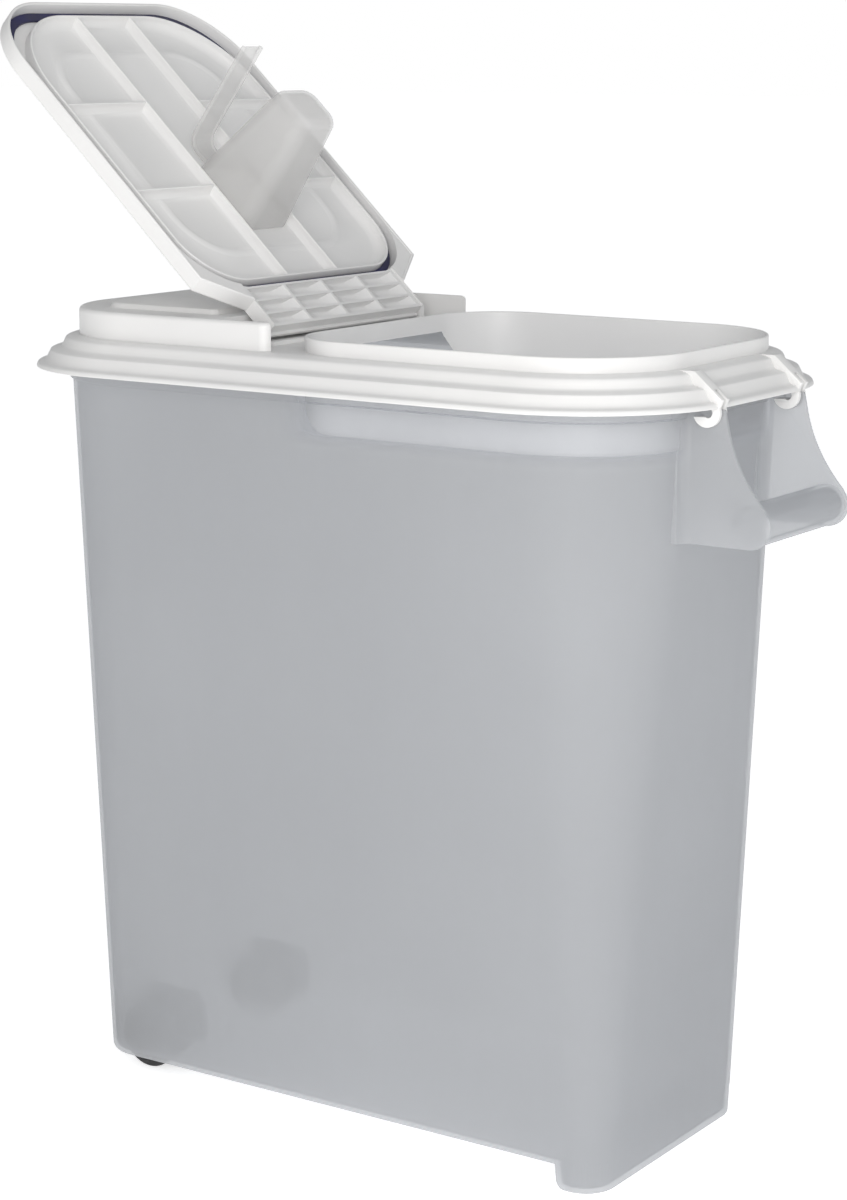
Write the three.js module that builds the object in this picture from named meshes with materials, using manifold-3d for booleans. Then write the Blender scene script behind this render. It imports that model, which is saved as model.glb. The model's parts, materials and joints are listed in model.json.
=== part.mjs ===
// Rolling pet food bin: a tapered translucent tub on two rear wheels and a front foot, a white lid whose
// front hooks turn on pegs, a folding door in the lid, and a scoop stored between the door's ribs.
// Millimetres. +X is the handle end, +Z is up, and the bin stands on z = 0.

import * as THREE from 'three';
import { mergeVertices } from 'three/addons/utils/BufferGeometryUtils.js';
import Module from 'manifold-3d';

const wasm = await Module();
wasm.setup();

// ---------------------------------------------------------------- driving dimensions

const WALL = 2.4;                  // wall of the tub and of the lid
const GAP = 0.35;                  // room between pieces that touch
const CORNER_STEPS = 9;            // facets on each rounded corner

// lid, measured at the flange
const FLANGE_HALF_LENGTH = 257.8;
const FLANGE_HALF_WIDTH = 146.5;
const FLANGE_CORNER = 103;
const FLANGE_Z = 500;              // underside of the flange lip
const DECK_Z = 521.5;              // flat top of the lid between platform and collar
const COLLAR_INSET = 29.3;         // from the flange edge to the collar and platform walls
const COLLAR_TOP_Z = 530.9;
const COLLAR_REAR_X = -27.4;
const COLLAR_REAR_CORNER = 48;
const THROAT_Z = 472;              // lower edge of the sleeve below the opening
const THROAT_CURVE_LENGTH = 40;    // the sleeve's rear end curves up to its short rear wall
const THROAT_CURVE_RISE = 46;
const PLATFORM_TOP_Z = 539.6;
const PLATFORM_FRONT_X = -33.5;
const PLATFORM_EDGE = 3;
const NOTCH_REAR_X = -75;
const NOTCH_HALF_WIDTH = 112;

// tub
const TUB_Z = 15.5;                // underside of the floor
const TUB_HALF_LENGTH_LOW = 203.75;
const TUB_HALF_WIDTH_LOW = 96.15;
const TUB_CORNER_LOW = 24;
const TUB_HALF_LENGTH_TOP = 234.1; // at the flange
const TUB_HALF_WIDTH_TOP = 122.8;
const TUB_CORNER_TOP = 80;
const TUB_EDGE = 6;                // rounding along the bottom edge
const BAND_Z = 496;                // lower edge of the rim band
const BAND_STEP = 2.4;
const RIM_Z = 516.1;
const RIM_FRONT_X = 195;           // in front of this the rim is lower, to clear the tilting lid
const RIM_FRONT_Z = 506;
const FOOT_REAR_X = 171.5;

// handle and hooks
const CHEEK_Y = 52;
const CHEEK_THICK = 3;
const CHEEK_TOP_Z = 499;
const CHEEK_ROOT = 8;              // rounding where a cheek grows out of the tub
const GRIP_X = 277;
const GRIP_Z = 430;
const GRIP_RADIUS = 13;
const PEG_X = 249.5;
const PEG_Z = 497;
const PEG_RADIUS = 2.8;
const HOOK_RADIUS = 9;
const HOOK_PLATE = 3;
const FORK_HALF_GAP = 1.9;
const FORK_DEPTH = 14;

// wheels
const WHEEL_X = -181;
const WHEEL_Y = 61;
const WHEEL_RADIUS = 23;
const WHEEL_WIDTH = 18;
const WHEEL_HUB = 7;
const WHEEL_TYRE = 5;              // thickness of the tyre ring
const WHEEL_RECESS = 4;            // depth of the web below the tyre's side
const WHEEL_BEVEL = 1.5;
const AXLE_RADIUS = 2.6;
const AXLE_LENGTH = 29;
const WELL_FRONT_X = -153.5;
const WELL_TOP_Z = 49.5;
const WELL_HALF_WIDTH = 18;
const HANGER_GAP = 10.6;           // from the wheel's mid plane to a hanger rib
const HANGER_THICK = 2.4;
const HANGER_HALF_LENGTH = 9;
const HANGER_SNAP = 0.3;           // how much each lip of a hanger's mouth holds the pin

// door: u runs from its hinge end to its free end, w from its rib tops outward, as it lies when shut
const DOOR_OPEN = THREE.MathUtils.degToRad(136.8);
const PIVOT_X = -59.05;
const PIVOT_Z = 531.97;
const PIVOT_U = 3.75;
const PIVOT_W = -6.17;
const PIN_RADIUS = 2.2;
const HEEL_RADIUS = 6.2;
const LUG_Y = 88.7;
const LUG_THICK = 5;
const LUG_RADIUS = 4.7;
const DOOR_LENGTH = 298.5;
const DOOR_HALF_WIDTH = 121;
const DOOR_CORNER = 58;
const BLOCK_HALF_WIDTH = 85;
const BLOCK_LENGTH = 22;           // from the hinge end to the start of the slanted corners
const CHAMFER_END = 44;
const SKIN_W = -10;
const SKIN_THICK = 2.5;
const RIM_W = 2.5;
const DOOR_WALL = 2.2;
const CHANNEL_START = 33.8;        // the channel that closes over the collar
const CHANNEL_CORNER_REAR = 49.6;
const CORNER_W = 1.5;              // flat corners behind the channel
const PLUG_START = 40;
const PLUG_END = 288;
const PLUG_HALF_WIDTH = 111.5;
const PLUG_CORNER_REAR = 42;
const PLUG_CORNER_FRONT = 68;
const PLUG_W = 0.5;
const RIB_THICK = 1.8;
const RIB_Y = 28;
const CROSS_RIB_U = [125, 204];
const CRATE_U = [0.8, 11.3, 22.6, 33.8];
const CRATE_Y = [-82.4, -41.2, 0, 41.2, 82.4];
const CRATE_RIB = 1.6;
const CRATE_END = CRATE_U[CRATE_U.length - 1] + CRATE_RIB / 2;
const GASKET_W = -5.4;
const GASKET_CORNER = 56;            // front corner of its inner edge
const GASKET_MARGIN = 0.4;         // to the door's outer wall

// scoop, in the door's u and w
const SCOOP_MOUTH = { w: -6.9, start: 88, end: 147, halfWidth: 26.5, corner: 7 };
const SCOOP_END = { w: 78, start: 101, end: 136, halfWidth: 20, corner: 8 };
const SCOOP_WALL = 1.8;
const SCOOP_EDGE = 6;
const SCOOP_HANDLE_HALF_WIDTH = 10.5;
const SCOOP_HANDLE_THICK = 2.4;
const SCOOP_HANDLE_U = 172;
const SCOOP_TIP = { u: 180, w: 74 };
const SCOOP_BEND = 12;

// ---------------------------------------------------------------- materials

const paint = (color, roughness, opacity = 1) => new THREE.MeshStandardMaterial({
  color, roughness, metalness: 0, opacity, transparent: opacity < 1,
});
const tubPlastic = paint(0xc3c8cc, 0.35, 0.6);
const lidPlastic = paint(0xf3f3f2, 0.4);
const scoopPlastic = paint(0xc9cbcc, 0.3, 0.7);
const gasketRubber = paint(0x11103a, 0.6);
const wheelPlastic = paint(0x16161a, 0.55);
const axleSteel = new THREE.MeshStandardMaterial({ color: 0xb8babd, roughness: 0.3, metalness: 1 });

// ---------------------------------------------------------------- solids

const solids = [];

// a manifold solid from any closed three.js geometry
function solid(geometry) {
  const bare = geometry.clone();
  bare.deleteAttribute('normal');
  bare.deleteAttribute('uv');
  const merged = mergeVertices(bare, 1e-4);
  const made = new wasm.Manifold(new wasm.Mesh({
    numProp: 3,
    vertProperties: new Float32Array(merged.attributes.position.array),
    triVerts: new Uint32Array(merged.index.array),
  }));
  solids.push(made);
  return made;
}

const join = (first, ...rest) => rest.reduce((total, next) => total.add(next), first);
const cut = (first, ...rest) => rest.reduce((total, next) => total.subtract(next), first);

function namedMesh(name, manifold, material) {
  const { vertProperties, triVerts, numProp } = manifold.getMesh();
  const positions = new Float32Array((vertProperties.length / numProp) * 3);
  for (let i = 0; i < positions.length / 3; i += 1) {
    positions.set(vertProperties.subarray(i * numProp, i * numProp + 3), i * 3);
  }
  const geometry = new THREE.BufferGeometry();
  geometry.setAttribute('position', new THREE.BufferAttribute(positions, 3));
  geometry.setIndex(new THREE.BufferAttribute(new Uint32Array(triVerts), 1));
  geometry.computeVertexNormals();
  const mesh = new THREE.Mesh(geometry, material);
  mesh.name = name;
  return mesh;
}

function box(x0, x1, y0, y1, z0, z1) {
  const geometry = new THREE.BoxGeometry(x1 - x0, y1 - y0, z1 - z0);
  geometry.translate((x0 + x1) / 2, (y0 + y1) / 2, (z0 + z1) / 2);
  return solid(geometry);
}

// a round bar along Y
function barY(radius, x, z, y0, y1, facets = 28) {
  const geometry = new THREE.CylinderGeometry(radius, radius, y1 - y0, facets);
  geometry.translate(x, (y0 + y1) / 2, z);
  return solid(geometry);
}

// an outline of [x, z] points pushed along Y
function prismY(points, y0, y1) {
  const shape = new THREE.Shape(points.map(([x, z]) => new THREE.Vector2(x, z)));
  const geometry = new THREE.ExtrudeGeometry(shape, { depth: y1 - y0, bevelEnabled: false });
  geometry.rotateX(Math.PI / 2);
  geometry.translate(0, y1, 0);
  return solid(geometry);
}

// an outline of [x, y] points pushed along Z
function prismZ(points, z0, z1) {
  const shape = new THREE.Shape(points.map(([x, y]) => new THREE.Vector2(x, y)));
  const geometry = new THREE.ExtrudeGeometry(shape, { depth: z1 - z0, bevelEnabled: false });
  geometry.translate(0, 0, z0);
  return solid(geometry);
}

// points on an arc, angles in degrees
function arc(cx, cy, radius, from, to, steps) {
  const points = [];
  for (let i = 0; i <= steps; i += 1) {
    const angle = THREE.MathUtils.degToRad(from + ((to - from) * i) / steps);
    points.push([cx + radius * Math.cos(angle), cy + radius * Math.sin(angle)]);
  }
  return points;
}

// a rounded rectangle, anticlockwise, with its own corner radius at the rear (x0) and front (x1)
function roundedOutline(x0, x1, halfWidth, rearCorner, frontCorner) {
  const front = Math.max(frontCorner, 0.2);
  const rear = Math.max(rearCorner, 0.2);
  return [
    ...arc(x1 - front, front - halfWidth, front, -90, 0, CORNER_STEPS),
    ...arc(x1 - front, halfWidth - front, front, 0, 90, CORNER_STEPS),
    ...arc(x0 + rear, halfWidth - rear, rear, 90, 180, CORNER_STEPS),
    ...arc(x0 + rear, rear - halfWidth, rear, 180, 270, CORNER_STEPS),
  ];
}

// a closed skin over rings of the same point count; each ring is convex and lies at one height
function loft(rings) {
  const count = rings[0].outline.length;
  const positions = rings.flatMap(({ z, outline }) => outline.flatMap(([x, y]) => [x, y, z]));
  const triangles = [];
  for (let ring = 0; ring < rings.length - 1; ring += 1) {
    for (let i = 0; i < count; i += 1) {
      const next = (i + 1) % count;
      const [a, b] = [ring * count + i, ring * count + next];
      triangles.push(a, b, b + count, a, b + count, a + count);
    }
  }
  for (const [ring, turn] of [[0, -1], [rings.length - 1, 1]]) {
    const { z, outline } = rings[ring];
    const centre = positions.length / 3;
    positions.push(
      outline.reduce((sum, point) => sum + point[0], 0) / count,
      outline.reduce((sum, point) => sum + point[1], 0) / count,
      z,
    );
    for (let i = 0; i < count; i += 1) {
      const [a, b] = [ring * count + i, ring * count + ((i + 1) % count)];
      triangles.push(...(turn > 0 ? [centre, a, b] : [centre, b, a]));
    }
  }
  const geometry = new THREE.BufferGeometry();
  geometry.setAttribute('position', new THREE.Float32BufferAttribute(positions, 3));
  geometry.setIndex(triangles);
  return solid(geometry);
}

// ---------------------------------------------------------------- tub

// the tub's plan outline at a height, drawn in by an inset
function tubOutline(z, inset) {
  const share = (Math.min(z, FLANGE_Z) - TUB_Z) / (FLANGE_Z - TUB_Z);
  const halfLength = THREE.MathUtils.lerp(TUB_HALF_LENGTH_LOW, TUB_HALF_LENGTH_TOP, share) - inset;
  const halfWidth = THREE.MathUtils.lerp(TUB_HALF_WIDTH_LOW, TUB_HALF_WIDTH_TOP, share) - inset;
  const corner = THREE.MathUtils.lerp(TUB_CORNER_LOW, TUB_CORNER_TOP, share) - inset;
  return roundedOutline(-halfLength, halfLength, halfWidth, corner, corner);
}

// rings that round the bottom edge of a tub shape
function bottomRings(z, inset, radius, steps) {
  const rings = [];
  for (let i = 0; i <= steps; i += 1) {
    const angle = (Math.PI / 2) * (i / steps);
    const height = z + radius * (1 - Math.cos(angle));
    rings.push({ z: height, outline: tubOutline(height, inset + radius * (1 - Math.sin(angle))) });
  }
  return rings;
}

function tubShell() {
  const outside = loft([
    ...bottomRings(TUB_Z, 0, TUB_EDGE, 4),
    { z: BAND_Z, outline: tubOutline(BAND_Z, 0) },
    { z: BAND_Z, outline: tubOutline(BAND_Z, -BAND_STEP) },
    { z: FLANGE_Z, outline: tubOutline(FLANGE_Z, -BAND_STEP) },
    { z: RIM_Z, outline: tubOutline(RIM_Z, -BAND_STEP) },
  ]);
  const inside = loft([
    ...bottomRings(TUB_Z + WALL, WALL, TUB_EDGE - 1, 4),
    { z: FLANGE_Z, outline: tubOutline(FLANGE_Z, WALL) },
    { z: RIM_Z + 1, outline: tubOutline(RIM_Z, WALL) },
  ]);
  const core = loft([
    ...bottomRings(TUB_Z + WALL / 2, WALL / 2, TUB_EDGE, 2),
    { z: BAND_Z, outline: tubOutline(BAND_Z, WALL / 2) },
  ]);
  const lowered = box(
    RIM_FRONT_X, FLANGE_HALF_LENGTH, -FLANGE_HALF_WIDTH, FLANGE_HALF_WIDTH, RIM_FRONT_Z, RIM_Z + 1,
  );
  return { outside: cut(outside, lowered), inside, core };
}

// the front foot: the tub's outline carried down to the ground, hollow from inside
function footShell() {
  const footEdge = 2.5;
  const rise = 30;
  const side = (rearX, lowZ, radius) => prismY([
    [rearX, rise],
    ...arc(rearX + 1 + radius, lowZ + radius, radius, 180, 270, 5),
    [TUB_HALF_LENGTH_TOP, lowZ],
    [TUB_HALF_LENGTH_TOP, rise],
  ], -FLANGE_HALF_WIDTH, FLANGE_HALF_WIDTH);
  const column = (z, inset) => loft([
    ...bottomRings(z, inset, footEdge, 2),
    { z: rise, outline: tubOutline(rise, inset) },
  ]);
  return {
    outside: column(0, 0.2).intersect(side(FOOT_REAR_X, 0, 8)),
    inside: column(WALL, WALL + 0.4).intersect(side(FOOT_REAR_X + WALL, WALL, 6)),
  };
}

// one cheek: flat plate in side view, flared in plan where it grows out of the tub
function cheek(side) {
  const corner = GRIP_RADIUS + 1;
  const plate = prismY([
    [TUB_HALF_LENGTH_LOW, CHEEK_TOP_Z],
    [TUB_HALF_LENGTH_LOW, GRIP_Z - corner],
    ...arc(GRIP_X, GRIP_Z, corner, -90, 35, 8),
    ...new THREE.QuadraticBezierCurve(
      new THREE.Vector2(287, 440.5),
      new THREE.Vector2(266, 463),
      new THREE.Vector2(261, 490),
    ).getPoints(7).map(({ x, y }) => [x, y]),
    [PEG_X + 9.5, CHEEK_TOP_Z],
  ], CHEEK_Y - 14, CHEEK_Y + 14);
  const half = CHEEK_THICK / 2;
  const rootX = TUB_HALF_LENGTH_TOP + 5.2;
  const plan = prismZ([
    [TUB_HALF_LENGTH_LOW, CHEEK_Y - half - CHEEK_ROOT],
    [rootX - CHEEK_ROOT + 1, CHEEK_Y - half - CHEEK_ROOT],
    ...arc(rootX, CHEEK_Y - half - CHEEK_ROOT, CHEEK_ROOT, 170, 90, 5),
    [GRIP_X + GRIP_RADIUS * 2, CHEEK_Y - half],
    [GRIP_X + GRIP_RADIUS * 2, CHEEK_Y + half],
    ...arc(rootX, CHEEK_Y + half + CHEEK_ROOT, CHEEK_ROOT, -90, -170, 5),
    [TUB_HALF_LENGTH_LOW, CHEEK_Y + half + CHEEK_ROOT],
  ], GRIP_Z - corner - 1, CHEEK_TOP_Z + 1);
  const peg = barY(PEG_RADIUS, PEG_X, PEG_Z, CHEEK_Y - half - HOOK_PLATE, CHEEK_Y + half + HOOK_PLATE, 20);
  const right = plate.intersect(plan).add(peg);
  return side > 0 ? right : right.mirror([0, 1, 0]);
}

// the grip: a round bar, hollow and open towards the tub and the floor
function grip() {
  const reach = CHEEK_Y - 1;
  const inside = CHEEK_Y - CHEEK_THICK / 2;
  const bar = barY(GRIP_RADIUS, GRIP_X, GRIP_Z, -reach, reach, 32);
  const bore = barY(GRIP_RADIUS - WALL, GRIP_X, GRIP_Z, -inside, inside, 32);
  const mouth = prismY([
    [GRIP_X, GRIP_Z],
    [GRIP_X - GRIP_RADIUS * 2, GRIP_Z - 4],
    [GRIP_X - GRIP_RADIUS * 2, GRIP_Z - GRIP_RADIUS * 2],
    [GRIP_X - 3, GRIP_Z - GRIP_RADIUS * 2],
  ], -inside, inside);
  return cut(bar, bore, mouth);
}

// one wheel well in the floor, open below and behind, with two hanger ribs that hold the axle
function wheelWell(side) {
  const y = WHEEL_Y * side;
  const behind = -TUB_HALF_LENGTH_TOP;
  const below = TUB_Z - WALL;
  const profile = (grow) => [
    [behind, below],
    [WELL_FRONT_X + grow, below],
    ...arc(WELL_FRONT_X + grow - 12, WELL_TOP_Z + grow - 12, 12, 0, 90, 5),
    [behind, WELL_TOP_Z + grow],
  ];
  const shell = prismY(profile(WALL), y - WELL_HALF_WIDTH - WALL, y + WELL_HALF_WIDTH + WALL);
  const hollow = prismY(profile(0), y - WELL_HALF_WIDTH, y + WELL_HALF_WIDTH);
  const [nearSide, farSide] = [y - WELL_HALF_WIDTH, y + WELL_HALF_WIDTH];
  const mouth = AXLE_RADIUS - HANGER_SNAP;
  const slot = join(
    barY(AXLE_RADIUS + GAP, WHEEL_X, WHEEL_RADIUS, nearSide, farSide, 20),
    box(WHEEL_X - mouth, WHEEL_X + mouth, nearSide, farSide, 0, WHEEL_RADIUS),
  );
  const hangers = [-1, 1].map((end) => {
    const middle = y + end * (HANGER_GAP + HANGER_THICK / 2);
    return box(
      WHEEL_X - HANGER_HALF_LENGTH, WHEEL_X + HANGER_HALF_LENGTH,
      middle - HANGER_THICK / 2, middle + HANGER_THICK / 2, TUB_Z, WELL_TOP_Z + 1,
    );
  });
  return { shell, hollow, hangers: cut(join(...hangers), slot) };
}

function makeBinBody() {
  const tub = tubShell();
  const foot = footShell();
  const wells = [-1, 1].map(wheelWell);
  const full = join(tub.outside, foot.outside, cheek(-1), cheek(1), grip());
  const shell = cut(full, tub.inside, foot.inside);
  const withWells = join(shell, ...wells.map((well) => well.shell.intersect(tub.core)));
  const opened = cut(withWells, ...wells.map((well) => well.hollow));
  return namedMesh('bin_body', join(opened, ...wells.map((well) => well.hangers)), tubPlastic);
}

// ---------------------------------------------------------------- lid

// outside and inside of the stepped moulding: [inset from the flange edge, height]
const MOULDING_OUTSIDE = [
  [0, 500], [0, 501.6], [1.2, 503], [6, 504.4], [9, 509.5], [10.5, 511.3],
  [16.5, 513], [18.2, 515.2], [19.5, 518], [21.5, 519.8], [28, DECK_Z],
];
const MOULDING_INSIDE = [
  [2.2, 499], [2.2, 500.6], [7.4, 502.2], [10.4, 508], [12, 509.6],
  [17.6, 511.2], [19.6, 513.6], [21.1, 516.5], [24, 518], [29, DECK_Z - WALL],
];

function mouldingLoft(profile) {
  return loft(profile.map(([inset, z]) => ({
    z,
    outline: roundedOutline(
      inset - FLANGE_HALF_LENGTH,
      FLANGE_HALF_LENGTH - inset,
      FLANGE_HALF_WIDTH - inset,
      FLANGE_CORNER - inset,
      FLANGE_CORNER - inset,
    ),
  })));
}

const wallEndX = FLANGE_HALF_LENGTH - COLLAR_INSET;
const wallHalfWidth = FLANGE_HALF_WIDTH - COLLAR_INSET;
const wallCorner = FLANGE_CORNER - COLLAR_INSET;

function platform() {
  const outline = (inset) => roundedOutline(
    inset - wallEndX, PLATFORM_FRONT_X - inset, wallHalfWidth - inset,
    wallCorner - inset, PLATFORM_EDGE + 0.5 - inset,
  );
  const low = DECK_Z - WALL - 1;
  const block = loft([
    { z: low + 1, outline: outline(0) },
    ...[0, 1, 2, 3].map((i) => {
      const angle = (Math.PI / 2) * (i / 3);
      return {
        z: PLATFORM_TOP_Z - PLATFORM_EDGE * (1 - Math.sin(angle)),
        outline: outline(PLATFORM_EDGE * (1 - Math.cos(angle))),
      };
    }),
  ]);
  const hollow = loft([
    { z: low - WALL, outline: outline(WALL) },
    { z: PLATFORM_TOP_Z - WALL, outline: outline(WALL) },
  ]);
  const notch = (grow, floor) => box(
    NOTCH_REAR_X - grow, 0, -NOTCH_HALF_WIDTH - grow, NOTCH_HALF_WIDTH + grow, floor, PLATFORM_TOP_Z + 1,
  );
  return { block: cut(block, notch(0, DECK_Z)), hollow: cut(hollow, notch(WALL + 0.6, low - WALL - 1)) };
}

function collarOutline(inset) {
  return roundedOutline(
    COLLAR_REAR_X + inset, wallEndX - inset, wallHalfWidth - inset,
    COLLAR_REAR_CORNER - inset, wallCorner - inset,
  );
}

// collar above the deck and throat below it, with the throat's rear lower corners curved up
function collar() {
  const tube = loft([
    { z: THROAT_Z, outline: collarOutline(0) },
    { z: COLLAR_TOP_Z - 0.8, outline: collarOutline(0) },
    { z: COLLAR_TOP_Z, outline: collarOutline(0.8) },
  ]);
  const side = prismY([
    [COLLAR_REAR_X - 1, COLLAR_TOP_Z + 1],
    [COLLAR_REAR_X - 1, THROAT_Z + THROAT_CURVE_RISE],
    ...arc(0, 0, 1, 180, 270, 7).map(([along, up]) => [
      COLLAR_REAR_X + THROAT_CURVE_LENGTH * (1 + along),
      THROAT_Z + THROAT_CURVE_RISE * (1 + up),
    ]),
    [COLLAR_REAR_X + THROAT_CURVE_LENGTH + 1, THROAT_Z - 0.5],
    [wallEndX + 1, THROAT_Z - 0.5],
    [wallEndX + 1, COLLAR_TOP_Z + 1],
  ], -FLANGE_HALF_WIDTH, FLANGE_HALF_WIDTH);
  const opening = loft([
    { z: THROAT_Z - 5, outline: collarOutline(WALL) },
    { z: COLLAR_TOP_Z + 5, outline: collarOutline(WALL) },
  ]);
  return { tube: tube.intersect(side), opening };
}

// a forked hook that snaps over a cheek and turns on its peg
function hook(side) {
  const y = CHEEK_Y * side;
  const half = FORK_HALF_GAP + HOOK_PLATE;
  const fin = prismY([
    [wallEndX + 1, DECK_Z - 1.7],
    [wallEndX + 1, DECK_Z - 0.2],
    [PEG_X - 9.4, DECK_Z - 0.2],
    [PEG_X + 10, FLANGE_Z + 3.5],
    ...arc(PEG_X - 1, PEG_Z, HOOK_RADIUS, 20, -172, 14),
    [PEG_X - 10, FLANGE_Z + 0.5],
    [PEG_X - 9.5, 511],
    [PEG_X - 11.2, 516.6],
  ].reverse(), y - half, y + half);
  const mouth = prismY([
    [PEG_X, PEG_Z + PEG_RADIUS],
    [PEG_X - 16, PEG_Z + 3],
    [PEG_X - 16, PEG_Z - 3.4],
    [PEG_X, PEG_Z - PEG_RADIUS + 0.4],
  ].reverse(), y - half - 1, y + half + 1);
  const bore = barY(PEG_RADIUS + GAP, PEG_X, PEG_Z, y - half - 1, y + half + 1, 24);
  const slot = barY(FORK_DEPTH, PEG_X, PEG_Z, y - FORK_HALF_GAP, y + FORK_HALF_GAP, 28);
  return { fin: cut(fin, mouth), cuts: [bore, slot] };
}

// an upright lug that carries one of the door's pins
function lug(side) {
  const y = LUG_Y * side;
  const near = y - LUG_THICK / 2;
  const far = y + LUG_THICK / 2;
  const upright = prismY([
    [PIVOT_X - LUG_RADIUS, DECK_Z - 1],
    [PIVOT_X + LUG_RADIUS, DECK_Z - 1],
    ...arc(PIVOT_X, PIVOT_Z, LUG_RADIUS, 0, 180, 8),
  ], near, far);
  return upright.subtract(barY(PIN_RADIUS + 0.25, PIVOT_X, PIVOT_Z, near - 1, far + 1, 20));
}

function makeLid() {
  const { block, hollow } = platform();
  const { tube, opening } = collar();
  const hooks = [-1, 1].map(hook);
  const shell = cut(mouldingLoft(MOULDING_OUTSIDE).add(block), mouldingLoft(MOULDING_INSIDE), hollow);
  const shelf = box(PIVOT_X - 6, PIVOT_X + 8, -BLOCK_HALF_WIDTH, BLOCK_HALF_WIDTH, DECK_Z - 1, DECK_Z + 2.3);
  const whole = join(shell, tube, shelf, lug(-1), lug(1), ...hooks.map(({ fin }) => fin));
  return namedMesh('lid', cut(whole, opening, ...hooks.flatMap(({ cuts }) => cuts)), lidPlastic);
}

// ---------------------------------------------------------------- door and scoop
// Both are drawn shut, about the pivot: X = u - PIVOT_U and Z = PIVOT_W - w.

const toX = (u) => u - PIVOT_U;
const toZ = (w) => PIVOT_W - w;

function doorOutline(inset) {
  const slant = Math.hypot(CHAMFER_END - BLOCK_LENGTH, DOOR_HALF_WIDTH - BLOCK_HALF_WIDTH);
  const along = (inset * (slant - (CHAMFER_END - BLOCK_LENGTH))) / (DOOR_HALF_WIDTH - BLOCK_HALF_WIDTH);
  const half = DOOR_HALF_WIDTH - inset;
  const block = BLOCK_HALF_WIDTH - inset;
  const centre = DOOR_LENGTH - DOOR_CORNER;
  const lower = [
    [inset, -block],
    [BLOCK_LENGTH + along, -block],
    [CHAMFER_END + along, -half],
    ...arc(centre, DOOR_CORNER - DOOR_HALF_WIDTH, DOOR_CORNER - inset, -90, 0, CORNER_STEPS),
  ];
  const upper = lower.map(([u, y]) => [u, -y]).reverse();
  return [...lower, ...upper].map(([u, y]) => [toX(u), y]);
}

const doorPlate = (inset, lowW, highW) => prismZ(doorOutline(inset), toZ(highW), toZ(lowW));
const doorBox = (u0, u1, y0, y1, w0, w1) => box(toX(u0), toX(u1), y0, y1, toZ(w1), toZ(w0));

function plugOutline(inset) {
  return roundedOutline(
    toX(PLUG_START + inset), toX(PLUG_END - inset), PLUG_HALF_WIDTH - inset,
    PLUG_CORNER_REAR - inset, PLUG_CORNER_FRONT - inset,
  );
}

// the two flat corners between the door's slanted walls and the rounded end of its channel
function doorCorners() {
  const channel = prismZ(roundedOutline(
    toX(CHANNEL_START), toX(DOOR_LENGTH), DOOR_HALF_WIDTH - DOOR_WALL, CHANNEL_CORNER_REAR, DOOR_CORNER,
  ), toZ(RIM_W), toZ(SKIN_W));
  const rear = doorBox(
    0, CHANNEL_START + CHANNEL_CORNER_REAR, -DOOR_HALF_WIDTH, DOOR_HALF_WIDTH, SKIN_W, RIM_W,
  );
  return cut(
    doorPlate(DOOR_WALL / 2, SKIN_W + 1, CORNER_W).intersect(rear),
    channel,
    doorBox(-1, CRATE_END, 1 - BLOCK_HALF_WIDTH, BLOCK_HALF_WIDTH - 1, SKIN_W, RIM_W),
    doorBox(-1, CHAMFER_END, -BLOCK_HALF_WIDTH, BLOCK_HALF_WIDTH, 0, RIM_W),
  );
}

// shallow pockets between the crate ribs at the hinge end
function cratePockets() {
  const half = CRATE_RIB / 2;
  const pockets = [];
  for (let row = 0; row < CRATE_U.length - 1; row += 1) {
    for (let column = 0; column < CRATE_Y.length - 1; column += 1) {
      pockets.push(doorBox(
        CRATE_U[row] + half, CRATE_U[row + 1] - half, CRATE_Y[column] + half, CRATE_Y[column + 1] - half,
        SKIN_W + SKIN_THICK, RIM_W + 1,
      ));
    }
  }
  return pockets;
}

function makeDoor() {
  const skinInside = SKIN_W + SKIN_THICK;
  const half = RIB_THICK / 2;
  const shell = cut(
    doorPlate(0, SKIN_W, RIM_W),
    doorPlate(DOOR_WALL, skinInside, RIM_W + 1),
    doorBox(-1, CHAMFER_END - 8, -BLOCK_HALF_WIDTH, BLOCK_HALF_WIDTH, 0, RIM_W + 1),
  );
  const block = cut(
    doorBox(0, CRATE_END, -BLOCK_HALF_WIDTH, BLOCK_HALF_WIDTH, SKIN_W, 0),
    ...cratePockets(),
  );
  const plugWall = prismZ(plugOutline(0), toZ(PLUG_W), toZ(SKIN_W + 1))
    .subtract(prismZ(plugOutline(RIB_THICK), toZ(PLUG_W + 1), toZ(SKIN_W + 0.5)));
  const longRibs = [-1, 1].map((side) => doorBox(
    PLUG_START + half, PLUG_END - half, side * RIB_Y - half, side * RIB_Y + half, SKIN_W + 1, 0,
  ));
  const crossRibs = CROSS_RIB_U.flatMap((u) => [
    doorBox(u - half, u + half, -PLUG_HALF_WIDTH + 1, -RIB_Y, SKIN_W + 1, 0),
    doorBox(u - half, u + half, RIB_Y, PLUG_HALF_WIDTH - 1, SKIN_W + 1, 0),
  ]);
  const heel = barY(HEEL_RADIUS, 0, 0, -BLOCK_HALF_WIDTH, BLOCK_HALF_WIDTH, 28)
    .intersect(box(-HEEL_RADIUS, 0, -BLOCK_HALF_WIDTH, BLOCK_HALF_WIDTH, 0, HEEL_RADIUS))
    .add(doorBox(0, PIVOT_U, -BLOCK_HALF_WIDTH, BLOCK_HALF_WIDTH, SKIN_W, SKIN_W + SKIN_THICK));
  const pinRoot = BLOCK_HALF_WIDTH - 1;
  const pinTip = LUG_Y + LUG_THICK / 2 - 0.5;
  const pins = [barY(PIN_RADIUS, 0, 0, pinRoot, pinTip, 20), barY(PIN_RADIUS, 0, 0, -pinTip, -pinRoot, 20)];
  const whole = join(shell, block, doorCorners(), plugWall, heel, ...longRibs, ...crossRibs, ...pins);
  return namedMesh('door', whole, lidPlastic);
}

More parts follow.
